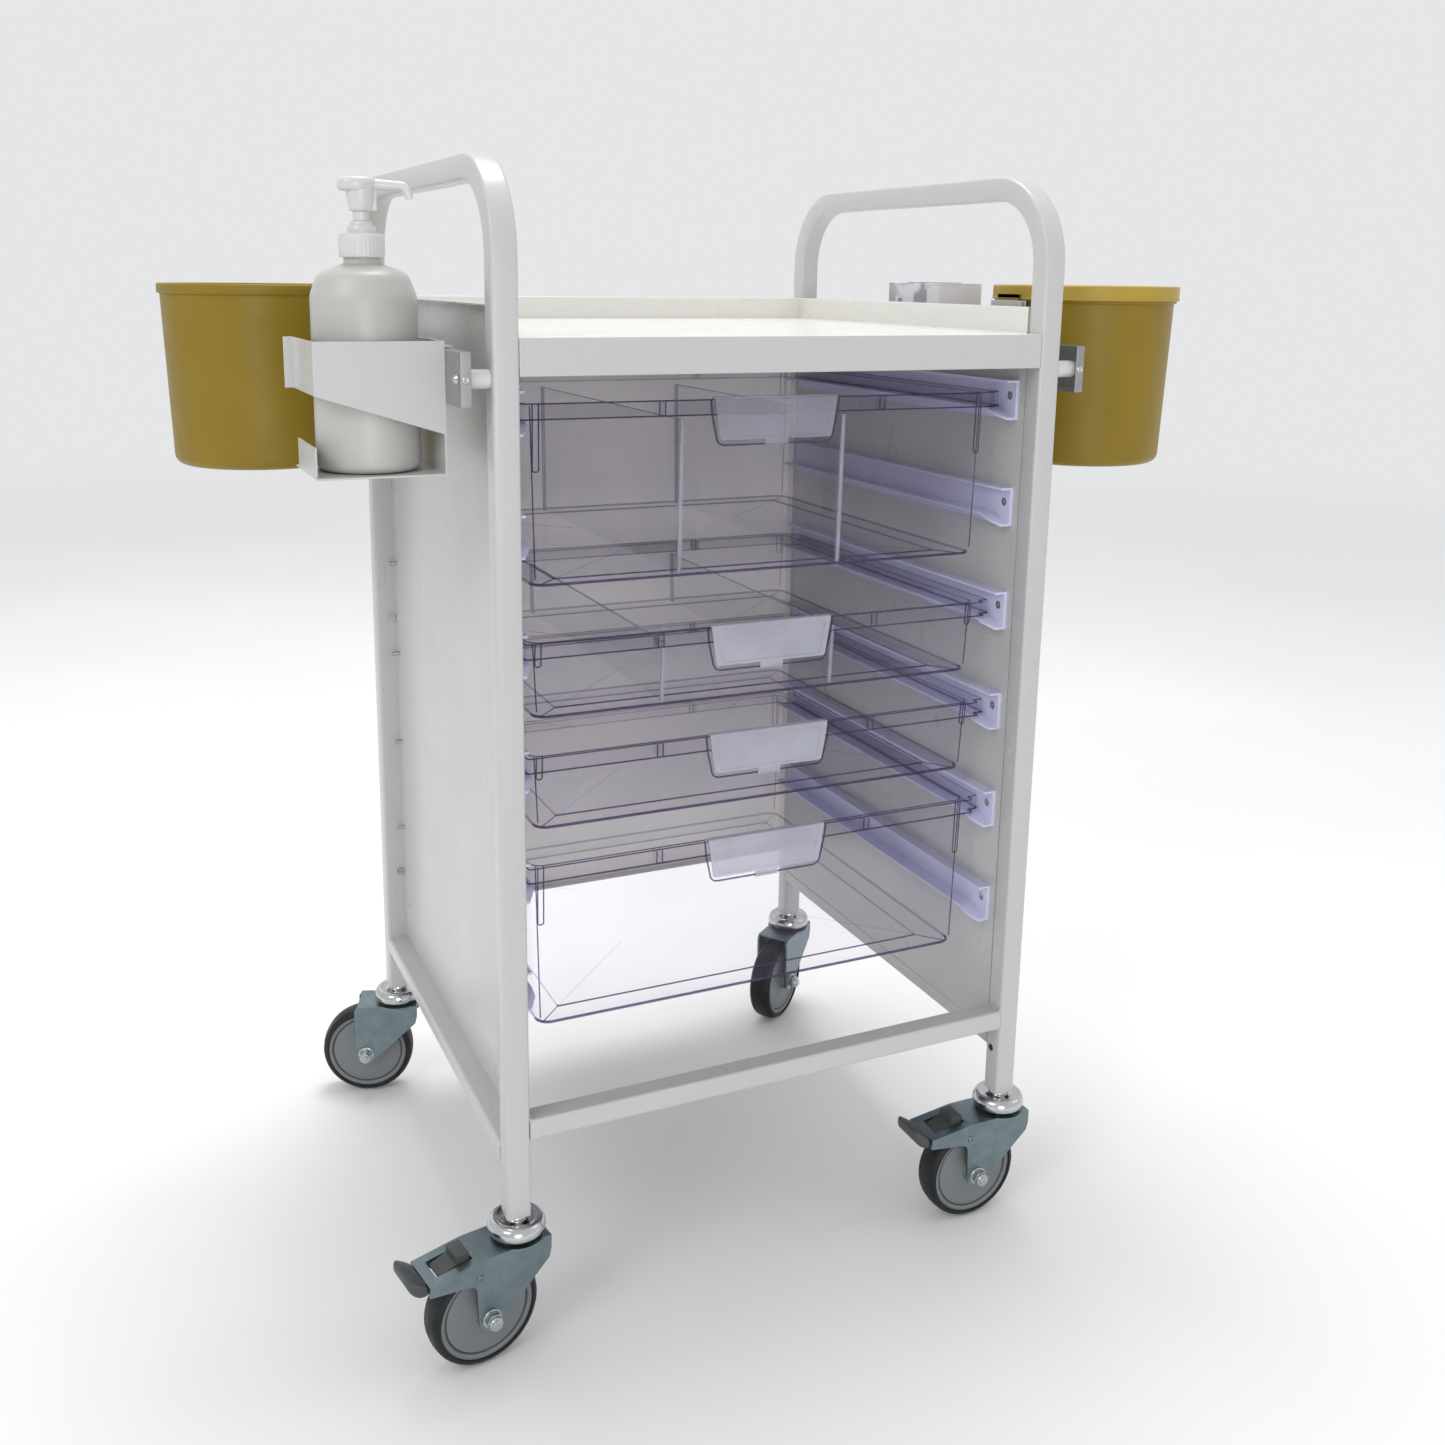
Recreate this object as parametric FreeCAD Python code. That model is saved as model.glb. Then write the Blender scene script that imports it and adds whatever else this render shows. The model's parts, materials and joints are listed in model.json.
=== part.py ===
"""Instrument cart: welded tube frame on four casters, deck, four clear trays, side accessories.

Millimetres. +X is the cart's right, +Y its back, +Z up. The origin is on the floor,
under the middle of the frame.
"""
import FreeCAD
import Part
import math
import os

V = FreeCAD.Vector
UP = V(0, 0, 1)
ACROSS = V(0, 1, 0)

# ---------------------------------------------------------------- overall sizes
frame_width = 495.0
frame_depth = 448.0
deck_height = 824.0
handle_height = 955.0
caster_height = 120.0

# ---------------------------------------------------------------- frame tubes
tube = 20.0
tube_wall = 1.5
tube_corner = 2.5
handle_bend = 66.0
front_rail_rise = 67.0
front_rail_height = 18.0
side_rail_rise = 43.0
side_rail_height = 15.0

# ---------------------------------------------------------------- sheet metal
sheet = 1.2
deck_sheet = 1.5
apron_height = 28.0
apron_hem = 12.0
lip_height = 22.0
lip_thickness = 2.0
panel_flange = 10.0
back_panel_rise = 80.0
panel_screw_rises = (133.0, 407.0, 640.0)
screw_shank = 2.0
screw_head = 3.6
screw_head_height = 2.2
screw_length = 9.0

# ---------------------------------------------------------------- runners and trays
runner_count = 6
runner_pitch = 93.0
runner_first_rise = 165.0
runner_height = 34.0
runner_web = 2.6
runner_top_width = 12.0
runner_ledge_width = 18.0
runner_ledge_top = 10.0
runner_flange = 2.0
runner_setback = 28.0
runner_back_gap = 24.0
runner_ramp = 22.0
runner_screw_rise = 20.5
runner_screw_inset = 9.0
runner_head_height = 2.0
runner_head_gap = 0.2

tray_setback = 40.0
tray_back_gap = 23.0
tray_wall = 2.0
tray_side_gap = 0.7
tray_body_gap = 2.0
tray_ledge_gap = 0.3
rim_thickness = 2.0
skirt_height = 13.3
rim_overhang_front = 12.0
front_rim_inset = 10.0
corner_notch = 8.0
body_taper = 10.0
front_taper = 4.0
body_corner = 12.0
floor_outline_inset = 26.0
floor_ridge = 1.2
rib_spread = 99.0
rib_width = 3.0
flap_half_top = 58.0
flap_half_bottom = 53.0
flap_drop = 37.0
flap_corner = 6.0
label_thickness = 1.5
label_margin = 2.5
label_drop = 33.0
clip_width = 21.0
divider_thickness = 3.0
divider_gap = 0.3

# each tray: name, runner position it hangs in (0 is lowest), height,
# how far its dividers stop below the rim, and where they stand from the middle
trays = (
    ("tray_1", 5, 145.0, 17.0, (-76.5, 71.0)),
    ("tray_2", 3, 66.0, 12.0, (-91.0, 67.0)),
    ("tray_3", 2, 66.0, 0.0, ()),
    ("tray_4", 1, 145.0, 0.0, ()),
)

# ---------------------------------------------------------------- casters
wheel_radius = 47.5
wheel_width = 26.0
tread_depth = 6.5
tread_shoulder = 6.0
hub_web = 20.0
hub_groove_radius = 35.4
hub_groove_width = 1.2
hub_groove_depth = 1.4
hub_bore_gap = 0.05
hub_boss_radius = 10.0
axle_radius = 4.0
axle_nut_radius = 7.2
caster_trail = 33.0
cheek_inside = 17.0
cheek_thickness = 2.5
cheek_boss = 11.0
fork_drop = 18.0
fork_disc = 24.0
fork_heel = 22.0
kingpin_radius = 5.0
kingpin_gap = 0.05
kingpin_head = 9.0
cup_radius = 24.0
cup_clearance = 1.6
cup_seat_inset = 0.9
stem_length = 34.0
insert_length = 38.0
insert_gap = 0.1
braked_length = 85.0
braked_fall = 6.0
braked_skirt = 9.0
plain_length = 44.0
window_start = 45.0
window_length = 31.0
window_width = 22.0
pedal_reach = 101.0
pedal_top_drop = 12.5
pedal_pivot_x = 42.0
pedal_pivot_drop = 33.0
pedal_pin = 2.0
pedal_arm = 1.6
pedal_arm_gap = 0.7
pedal_rib = 0.8

# name, side of the frame, end of the frame, direction of trail in degrees from +X, braked
casters = (
    ("front_left", -1, -1, 190.0, True),
    ("front_right", 1, -1, 180.0, True),
    ("rear_left", -1, 1, 160.0, False),
    ("rear_right", 1, 1, 217.0, False),
)

# ---------------------------------------------------------------- side rails and accessories
rail_standoff = 16.0
rail_thickness = 8.0
rail_height = 39.0
rail_groove = 4.5
rail_lip = 4.0
rail_centre_rise = 674.5
standoff_radius = 7.0
bolt_radius = 2.5
bolt_head_radius = 4.6
bolt_head_height = 2.6

holder_sheet = 1.5
holder_front = 40.0
holder_slack_along = 12.6
holder_slack_out = 15.6
holder_bottom_rise = 602.0
holder_top_rise = 700.0
band_tip_rise = 662.0
band_root_rise = 632.0
base_lip = 23.0
bottle_radius = 38.7
bottle_gap = 0.4
bottle_height = 126.0
bottle_shoulder = 24.0
neck_radius = 13.5
neck_height = 12.5
collar_rise = 4.5
collar_radius = 16.5
collar_height = 17.0
collar_step_radius = 10.2
collar_step_height = 8.5
bottle_wall = 1.5
pump_stem_radius = 6.3
pump_stem_gap = 0.3
pump_travel = 7.5
pump_skirt_height = 15.0
pump_skirt_radius = 10.0
pad_length = 33.0
pad_width = 24.0
pad_height = 8.5
nozzle_reach = 38.0
nozzle_radius = 4.0
nozzle_drop = 9.0

bin_rim_radius = 83.0
bin_top_radius = 80.0
bin_bottom_radius = 72.0
bin_height = 155.0
bin_bottom_rise = 582.0
bin_wall = 2.0
bin_corner = 9.0
bin_rim_height = 10.0
left_bin_setback = 335.0
right_bin_setback = 115.0
bracket_width = 46.0
bracket_slot = 3.0
bracket_height = 62.0
tab_width = 30.0
tab_length = 26.0
tab_thickness = 2.4
bracket_drop = 7.0
lid_height = 6.0
lid_rise = 7.0
lid_bead = 5.0
lid_gap = 0.4
lid_wall = 1.8
lid_recess = 3.0

carton_setback = 229.0
carton_length = 94.0
carton_width = 50.0
carton_height = 128.0
carton_bottom_rise = 617.0
carton_gap = 1.2

# ---------------------------------------------------------------- values worked out
half_width = frame_width / 2
half_depth = frame_depth / 2
inner_x = half_width - tube
inner_y = half_depth - tube
front_y = -half_depth
runner_length = frame_depth - runner_setback - runner_back_gap
tray_depth = frame_depth - tray_setback - tray_back_gap
holder_length = 2 * bottle_radius + holder_slack_along
holder_reach = 2 * bottle_radius + holder_slack_out
panel_inner_x = inner_x
rail_inner_x = half_width + rail_standoff
rail_outer_x = rail_inner_x + rail_thickness
rail_web_x = rail_inner_x + rail_groove
rail_centre_z = caster_height + rail_centre_rise
rail_top_z = rail_centre_z + rail_height / 2
tray_front = front_y + tray_setback
tray_back = tray_front + tray_depth
rim_half = panel_inner_x - runner_web - tray_side_gap
front_rim_half = rim_half - front_rim_inset
body_half_top = panel_inner_x - runner_ledge_width - tray_body_gap
post_centre_x = half_width - tube / 2
post_centre_y = half_depth - tube / 2
bin_offset = rail_outer_x + 2 * holder_sheet + bracket_slot + 0.5 + bin_rim_radius
axle_drop = caster_height - wheel_radius


# ---------------------------------------------------------------- small shape helpers
def box(x0, x1, y0, y1, z0, z1):
    """Solid box between two corners."""
    low = V(min(x0, x1), min(y0, y1), min(z0, z1))
    return Part.makeBox(abs(x1 - x0), abs(y1 - y0), abs(z1 - z0), low)


def cylinder(radius, length, base, axis=UP):
    """Solid cylinder from a base point along an axis."""
    return Part.makeCylinder(radius, length, base, axis)


def fuse(shapes):
    """One solid out of several that touch or overlap."""
    first = shapes[0]
    if len(shapes) > 1:
        first = first.fuse(list(shapes[1:]))
    return first.removeSplitter()


def cut(shape, tools):
    """A shape less every tool."""
    return shape.cut(list(tools)) if tools else shape


def rounded_outline(x0, x1, y0, y1, z, radius):
    """Closed rectangle with round corners, flat at height z."""
    r = radius
    k = r * (1 - math.sqrt(0.5))
    corners = (
        (V(x1 - r, y0, z), V(x1 - k, y0 + k, z), V(x1, y0 + r, z)),
        (V(x1, y1 - r, z), V(x1 - k, y1 - k, z), V(x1 - r, y1, z)),
        (V(x0 + r, y1, z), V(x0 + k, y1 - k, z), V(x0, y1 - r, z)),
        (V(x0, y0 + r, z), V(x0 + k, y0 + k, z), V(x0 + r, y0, z)),
    )
    edges = []
    for i, (start, middle, end) in enumerate(corners):
        edges.append(Part.Arc(start, middle, end).toShape())
        edges.append(Part.makeLine(end, corners[(i + 1) % 4][0]))
    return Part.Wire(edges)


def rounded_box(x0, x1, y0, y1, z0, z1, radius):
    """Box with its four upright edges rounded."""
    face = Part.Face(rounded_outline(x0, x1, y0, y1, z0, radius))
    return face.extrude(V(0, 0, z1 - z0))


def prism(points, direction):
    """Flat polygon pushed along a vector."""
    wire = Part.makePolygon(list(points) + [points[0]])
    return Part.Face(wire).extrude(direction)


def revolve(points):
    """Closed outline of (radius, height) pairs turned about the Z axis."""
    pts = [V(r, 0, z) for r, z in points]
    face = Part.Face(Part.makePolygon(pts + [pts[0]]))
    return face.revolve(V(0, 0, 0), UP, 360)


def mirrored(shape):
    """The same shape on the other side of the cart."""
    return shape.mirror(V(0, 0, 0), V(1, 0, 0))


def save(name, shapes):
    """Write one node, as one solid or a group of like solids."""
    solids = shapes if isinstance(shapes, list) else [shapes]
    plain = [s.Solids[0] if len(s.Solids) == 1 else s for s in solids]
    shape = plain[0] if len(plain) == 1 else Part.makeCompound(plain)
    shape.exportStep(os.path.join("parts", name + ".step"))
    print(name, len(shape.Solids), "solid(s), volume", round(shape.Volume))


# ---------------------------------------------------------------- frame
def tube_section(inset, centre, along):
    """Square outline with round corners, facing along Z or Y."""
    half = tube / 2 - inset
    corner = max(tube_corner - inset, 0.6)
    wire = rounded_outline(-half, half, -half, half, 0, corner)
    if along == "y":
        wire.rotate(V(0, 0, 0), V(1, 0, 0), 90)
    wire.translate(centre)
    return wire


def hoop_path(x):
    """Centre line of one side hoop: up the front post, over the handle, down the back post."""
    y = post_centre_y
    top = handle_height - tube / 2
    r = handle_bend
    k = r * (1 - math.sqrt(0.5))
    front_low = V(x, -y, caster_height)
    front_high = V(x, -y, top - r)
    front_over = V(x, -y + r, top)
    back_over = V(x, y - r, top)
    back_high = V(x, y, top - r)
    back_low = V(x, y, caster_height)
    return Part.Wire([
        Part.makeLine(front_low, front_high),
        Part.Arc(front_high, V(x, -y + k, top - k), front_over).toShape(),
        Part.makeLine(front_over, back_over),
        Part.Arc(back_over, V(x, y - k, top - k), back_high).toShape(),
        Part.makeLine(back_high, back_low),
    ])


def swept(path, wire):
    """Solid swept along a path, with its section kept square to it."""
    return path.makePipeShell([wire], True, False)


def panel_screw_places():
    """Where each side panel's screws go: side, end and height."""
    return [
        (side, end, caster_height + rise)
        for side in (-1, 1)
        for end in (-1, 1)
        for rise in panel_screw_rises
    ]


def panel_screw_holes(radius, side):
    """Holes through the panel's flanges and the post walls behind them."""
    x = side * (inner_x + panel_flange / 2 + sheet / 2)
    y = inner_y - sheet - 0.5
    length = screw_length + sheet + 1
    return [
        cylinder(radius, length, V(x, end * y, z), V(0, end, 0))
        for s, end, z in panel_screw_places()
        if s == side
    ]


def rail_bolt_holes(radius, side):
    """Holes for the accessory rail's bolts, through the rail, spacer and post wall."""
    start = half_width - tube_wall - 6
    length = rail_outer_x - start + 1
    return [
        cylinder(radius, length, V(side * start, end * post_centre_y, rail_centre_z), V(side, 0, 0))
        for end in (-1, 1)
    ]


def hoop(side):
    """One bent tube that is both posts and the handle of a side."""
    x = side * post_centre_x
    path = hoop_path(x)
    foot = V(x, -post_centre_y, caster_height)
    outer = swept(path, tube_section(0, foot, "z"))
    bore = swept(path, tube_section(tube_wall, foot, "z"))
    shape = outer.cut(bore)
    shape = cut(shape, panel_screw_holes(screw_shank, side))
    return cut(shape, rail_bolt_holes(bolt_radius, side))


def cross_tube(x0, x1, y0, y1, z0, z1, along):
    """Straight rectangular tube with round edges along X or Y."""
    if along == "x":
        outer = rounded_box(y0, y1, z0, z1, x0, x1, tube_corner)
        bore = rounded_box(
            y0 + tube_wall, y1 - tube_wall, z0 + tube_wall, z1 - tube_wall, x0, x1, tube_corner - tube_wall
        )
        shape = outer.cut(bore)
        shape.rotate(V(0, 0, 0), V(1, 1, 1), 120)
        return shape
    outer = rounded_box(x0, x1, -z1, -z0, y0, y1, tube_corner)
    bore = rounded_box(
        x0 + tube_wall, x1 - tube_wall, -z1 + tube_wall, -z0 - tube_wall, y0, y1, tube_corner - tube_wall
    )
    shape = outer.cut(bore)
    shape.rotate(V(0, 0, 0), V(1, 0, 0), -90)
    return shape


def front_rail():
    """Lower tube between the front posts."""
    low = caster_height + front_rail_rise
    return cross_tube(
        -inner_x, inner_x, -half_depth, -half_depth + tube, low, low + front_rail_height, "x"
    )


def side_rail(side):
    """Lower tube between a side's front and back posts."""
    low = caster_height + side_rail_rise
    x0, x1 = sorted((side * inner_x, side * half_width))
    return cross_tube(x0, x1, -inner_y, inner_y, low, low + side_rail_height, "y")


# ---------------------------------------------------------------- deck and panels
def deck():
    """Top tray: flat sheet, apron down at the front, lips up at the sides and back."""
    top = deck_height
    plate = box(-inner_x, inner_x, front_y, inner_y, top - deck_sheet, top)
    apron = box(-inner_x, inner_x, front_y, front_y + deck_sheet, top - apron_height, top)
    hem_low = top - apron_height
    hem = box(-inner_x, inner_x, front_y, front_y + apron_hem, hem_low, hem_low + deck_sheet)
    low = top - deck_sheet
    high = top + lip_height
    back_lip = box(-inner_x, inner_x, inner_y - lip_thickness, inner_y, low, high)
    side_lips = [
        box(side * inner_x, side * (inner_x - lip_thickness), -inner_y, inner_y, low, high)
        for side in (-1, 1)
    ]
    return fuse([plate, apron, hem, back_lip] + side_lips)


def side_panel(side):
    """Sheet that closes a side, with a flange folded outward along each edge."""
    low = caster_height + side_rail_rise + side_rail_height
    high = deck_height + lip_height
    face_x = side * inner_x
    back_x = side * (inner_x + sheet)
    edge_x = side * (inner_x + panel_flange)
    parts = [
        box(face_x, back_x, -inner_y, inner_y, low, high),
        box(face_x, edge_x, -inner_y, -inner_y + sheet, low, high),
        box(face_x, edge_x, inner_y - sheet, inner_y, low, high),
        box(face_x, edge_x, -inner_y, inner_y, low, low + sheet),
        box(face_x, edge_x, -inner_y, inner_y, high - sheet, high),
    ]
    return cut(fuse(parts), panel_screw_holes(screw_shank, side))


def back_panel():
    """Sheet that closes the back between the posts, with its top folded forward under the deck lip."""
    low = caster_height + back_panel_rise
    high = deck_height
    face = box(-inner_x, inner_x, half_depth - sheet, half_depth, low, high)
    top = box(-inner_x, inner_x, inner_y, half_depth, high - sheet, high)
    bottom = box(-inner_x, inner_x, half_depth - 12, half_depth, low, low + sheet)
    sides = [
        box(side * inner_x, side * (inner_x - sheet), half_depth - 12, half_depth, low, high)
        for side in (-1, 1)
    ]
    return fuse([face, top, bottom] + sides)


def pan_screw(seat, axis, head_height):
    """Screw whose head's underside sits at a point, with its shank along an axis."""
    shank = cylinder(screw_shank, screw_length, seat, axis)
    head = cylinder(screw_head, head_height, seat - axis * head_height, axis)
    recess = cylinder(screw_head * 0.35, head_height * 0.5, seat - axis * head_height, axis)
    return fuse([shank, head]).cut(recess)


def panel_screws():
    """The screws that hold both side panels to the posts."""
    x = inner_x + panel_flange / 2 + sheet / 2
    return [
        pan_screw(V(side * x, end * (inner_y - sheet), z), V(0, end, 0), screw_head_height)
        for side, end, z in panel_screw_places()
    ]


# ---------------------------------------------------------------- runners
def runner_low(index):
    """Height of a runner's lower edge."""
    return caster_height + runner_first_rise + index * runner_pitch


def runner(index):
    """Right-hand tray runner: web on the panel, top flange, ledge with a lead-in ramp."""
    low = runner_low(index)
    y0 = front_y + runner_setback
    y1 = y0 + runner_length
    x1 = panel_inner_x
    ledge = runner_ledge_top
    drop = ledge - runner_flange
    web = box(x1 - runner_web, x1, y0, y1, low, low + runner_height)
    top = box(x1 - runner_top_width, x1, y0, y1, low + runner_height - runner_flange, low + runner_height)
    ramp_points = (
        V(x1, y0, low),
        V(x1, y0 + runner_ramp, low + drop),
        V(x1, y1, low + drop),
        V(x1, y1, low + ledge),
        V(x1, y0 + runner_ramp - 1, low + ledge),
        V(x1, y0, low + runner_flange),
    )
    ramp = prism(ramp_points, V(-runner_ledge_width, 0, 0))
    x_tip = x1 - runner_ledge_width
    corner = prism(
        (V(x_tip - 1, y0 - 1, low - 1), V(x_tip + 8, y0 - 1, low - 1), V(x_tip - 1, y0 + 14, low - 1)),
        V(0, 0, runner_height),
    )
    shape = fuse([web, top, ramp.cut(corner)])
    return cut(shape, runner_screw_holes(index))


def runner_screw_places(index):
    """Front and back screw of a runner."""
    y0 = front_y + runner_setback + runner_screw_inset
    y1 = front_y + runner_setback + runner_length - runner_screw_inset
    z = runner_low(index) + runner_screw_rise
    x = panel_inner_x - runner_web + runner_head_height + runner_head_gap
    return [V(x, y, z) for y in (y0, y1)]


def runner_screw_holes(index):
    """Holes through a runner's web and the panel behind it, sunk for the screw heads."""
    places = runner_screw_places(index)
    shanks = [cylinder(screw_shank, screw_length, place, V(1, 0, 0)) for place in places]
    sinks = [cylinder(screw_head + runner_head_gap, runner_web, place, V(-1, 0, 0)) for place in places]
    return shanks + sinks


def runner_screws():
    """All runner screws, both sides."""
    right = [
        pan_screw(place, V(1, 0, 0), runner_head_height)
        for index in range(runner_count)
        for place in runner_screw_places(index)
    ]
    return right + [mirrored(screw) for screw in right]


# ---------------------------------------------------------------- trays
def tray_top(position):
    """Height of a tray's rim top when it hangs in a runner position."""
    return runner_low(position) + runner_ledge_top + tray_ledge_gap + skirt_height


def tray_body(top, height, inset):
    """Tapered block that is the tray's outside, or its inside when inset by the wall."""
    low = top - height + inset
    x_top = body_half_top - inset
    x_low = body_half_top - body_taper - inset
    y0_top = tray_front + rim_overhang_front + inset
    y1_top = tray_back - rim_overhang_front - inset
    corner = body_corner - inset
    upper = rounded_outline(-x_top, x_top, y0_top, y1_top, top + (1 if inset else 0), corner)
    lower = rounded_outline(-x_low, x_low, y0_top + front_taper, y1_top - front_taper, low, corner)
    return Part.makeLoft([lower, upper], True, True)


def rim_blank(z0, z1, inset):
    """Rim outline: full width behind the front corners, narrower at the very front and back."""
    x = front_rim_half - inset
    narrow = box(-x, x, tray_front + inset, tray_back - inset, z0, z1)
    x = rim_half - inset
    y0 = tray_front + corner_notch + inset
    y1 = tray_back - corner_notch - inset
    return fuse([narrow, box(-x, x, y0, y1, z0, z1)])


def flap_outline(half_top, half_bottom, drop, top, y, thickness, corner):
    """Trapezoid hanging from the rim's front, with its lower corners rounded."""
    points = (
        V(-half_top, y, top),
        V(half_top, y, top),
        V(half_bottom, y, top - drop),
        V(-half_bottom, y, top - drop),
    )
    solid = prism(points, V(0, thickness, 0))
    lower = [
        e for e in solid.Edges
        if abs(e.CenterOfMass.z - (top - drop)) < 0.01 and e.Length < thickness + 0.01
    ]
    return solid.makeFillet(corner, lower)


def floor_ridges(top, height):
    """Raised rectangle moulded into the tray's floor."""
    floor = top - height + tray_wall
    half = body_half_top - body_taper - floor_outline_inset
    y0 = tray_front + rim_overhang_front + front_taper + floor_outline_inset
    y1 = tray_back - rim_overhang_front - front_taper - floor_outline_inset
    outer = box(-half, half, y0, y1, floor - 0.5, floor + floor_ridge)
    inner = box(-half + tray_wall, half - tray_wall, y0 + tray_wall, y1 - tray_wall, floor - 1, floor + 9)
    return outer.cut(inner)


def tray(position, height):
    """Clear moulded tray with a rim, a skirt round it, ribs and a pull flap at the front."""
    top = tray_top(position)
    rim = rim_blank(top - rim_thickness, top, 0)
    low = top - skirt_height
    skirt = rim_blank(low, top, 0).cut(rim_blank(low - 1, top + 1, rim_thickness))
    ribs = [
        box(x - rib_width / 2, x + rib_width / 2, tray_front, tray_front + rim_overhang_front + 1, low, top)
        for x in (-rib_spread, rib_spread)
    ]
    flap = flap_outline(flap_half_top, flap_half_bottom, flap_drop, top, tray_front, tray_wall, flap_corner)
    shape = fuse([tray_body(top, height, 0), rim, skirt, flap] + ribs)
    shape = shape.cut(tray_body(top, height, tray_wall))
    return fuse([shape, floor_ridges(top, height)])


def label_holder(position):
    """Card holder on the pull flap: plate, raised edge, hook over the rim and a clip below."""
    top = tray_top(position)
    y = tray_front - label_thickness
    plate = flap_outline(
        flap_half_top - label_margin, flap_half_bottom - label_margin, label_drop, top, y,
        label_thickness, 3.0,
    )
    half = flap_half_top - 3 * label_margin
    half_low = flap_half_bottom - 3 * label_margin
    drop = label_drop - 2 * label_margin
    window = flap_outline(half, half_low, drop, top - label_margin, y, label_thickness / 2, 2.0)
    half = flap_half_top - label_margin
    hook = box(-half, half, y, tray_front + 5, top, top + label_thickness)
    c = clip_width / 2
    foot_low = top - flap_drop - label_thickness
    clip = box(-c, c, y, tray_front, foot_low, top - label_drop + 2)
    foot = box(-c, c, y, tray_front + tray_wall + 1, foot_low, foot_low + label_thickness)
    return fuse([plate.cut(window), hook, clip, foot])


def dividers(position, height, drop, places):
    """Upright plates that split a tray, front to back."""
    top = tray_top(position)
    low = top - height + tray_wall
    plates = []
    for x in places:
        depth_gap = tray_wall + divider_gap
        y0 = tray_front + rim_overhang_front + depth_gap
        y1 = tray_back - rim_overhang_front - depth_gap
        slope = front_taper / height
        upper = top - drop
        y_up = slope * drop
        y_low = front_taper
        points = (
            V(x, y0 + y_up, upper),
            V(x, y1 - y_up, upper),
            V(x, y1 - y_low, low),
            V(x, y0 + y_low, low),
        )
        plate = prism(points, V(divider_thickness, 0, 0))
        plate.translate(V(-divider_thickness / 2, 0, 0))
        plates.append(notched_over_ridges(plate, x, top - height + tray_wall))
    return plates


def notched_over_ridges(plate, x, floor):
    """Divider with its foot cut where it crosses the floor's raised rectangle."""
    y0 = tray_front + rim_overhang_front + front_taper + floor_outline_inset
    y1 = tray_back - rim_overhang_front - front_taper - floor_outline_inset
    tools = [
        box(x - 5, x + 5, y - 0.5, y + tray_wall + 0.5, floor - 1, floor + floor_ridge + 0.3)
        for y in (y0, y1 - tray_wall)
    ]
    return cut(plate, tools)


# ---------------------------------------------------------------- casters, made at the origin
# Local frame: swivel axis on Z, trail along +X, z = 0 at the post's lower end.
def place_caster(shape, side, end, direction):
    """Turn a caster piece to its trail direction and move it under its post."""
    placed = shape.copy()
    placed.rotate(V(0, 0, 0), UP, direction)
    placed.translate(V(side * post_centre_x, end * post_centre_y, caster_height))
    return placed


def caster_cup():
    """Dished cover, stem and kingpin: the part of a caster that doesn't turn."""
    r = cup_radius
    low = cup_clearance - fork_drop
    seat = tube / 2 - cup_seat_inset
    outline = [
        (0, 0), (seat, 0), (seat, -4.5), (r * 0.55, -5.0), (r * 0.68, -3.6), (r * 0.77, -3.0),
        (r * 0.85, -3.4), (r * 0.92, -4.8), (r * 0.97, -7.0), (r, -9.8),
        (r * 0.98, -12.4), (r * 0.93, -14.6),
        (r * 0.86, low + 0.3), (r * 0.8, low), (r * 0.74, low + 0.6), (r * 0.72, low + 2.4), (0, low + 2.4),
    ]
    stem = cylinder(kingpin_radius, stem_length, V(0, 0, 0))
    head_low = -fork_drop - cheek_thickness - 3.2
    pin = cylinder(kingpin_radius, low + 3 - head_low, V(0, 0, head_low))
    head = cylinder(kingpin_head, 2.4, V(0, 0, head_low))
    return fuse([revolve(outline), stem, pin, head])


def foot_arc():
    """Round foot of a cheek below the axle, as (x, z) points."""
    return [
        (
            caster_trail + cheek_boss * math.cos(math.radians(a)),
            -axle_drop + cheek_boss * math.sin(math.radians(a)),
        )
        for a in range(0, -134, -19)
    ]


def cheek_outline(braked):
    """Side plate outline in the caster's own frame, as (x, z) points."""
    top = -fork_drop
    leg = caster_trail + cheek_boss
    if braked:
        end_z = top - braked_fall
        nose = [
            (window_start - 3, top), (braked_length, end_z), (braked_length, end_z - braked_skirt),
            (leg + 9, top - 19), (leg + 4, top - 20.5), (leg + 1.5, top - 24), (leg + 1, top - 28),
        ]
    else:
        nose = [(plain_length - 3, top), (plain_length, top - 5)]
    return [(-fork_heel, top)] + nose + foot_arc() + [(-fork_heel + 2, top - 20), (-fork_heel, top - 12)]


def fork(braked):
    """Pressed steel fork: top plate with a round seat, two cheeks, and a window if it has a brake."""
    y_out = cheek_inside + cheek_thickness
    t = cheek_thickness
    top = -fork_drop
    cheeks = [
        prism([V(x, y, z) for x, z in cheek_outline(braked)], V(0, t, 0))
        for y in (cheek_inside, -y_out)
    ]
    if braked:
        line = ((-fork_heel, top), (window_start - 3, top), (braked_length, top - braked_fall))
    else:
        line = ((-fork_heel, top), (plain_length - 3, top))
    upper = [V(x, -y_out, z) for x, z in line]
    lower = [V(x, -y_out, z - t) for x, z in reversed(line)]
    plate = prism(upper + lower, V(0, 2 * y_out, 0))
    seat = cylinder(fork_disc, t, V(0, 0, top - t))
    shape = fuse([seat, plate] + cheeks)
    tools = [
        cylinder(kingpin_radius + kingpin_gap, 3 * t, V(0, 0, top - 2 * t)),
        cylinder(
            axle_radius + hub_bore_gap, 2 * y_out + 2, V(caster_trail, -y_out - 1, -axle_drop), ACROSS,
        ),
    ]
    if braked:
        half = window_width / 2
        tools.append(box(window_start, window_start + window_length, -half, half, top - 12, 0))
        pivot = V(pedal_pivot_x, -y_out - 1, -pedal_pivot_drop)
        tools.append(cylinder(pedal_pin + kingpin_gap, 2 * y_out + 2, pivot, V(0, 1, 0)))
    return cut(shape, tools)


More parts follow.
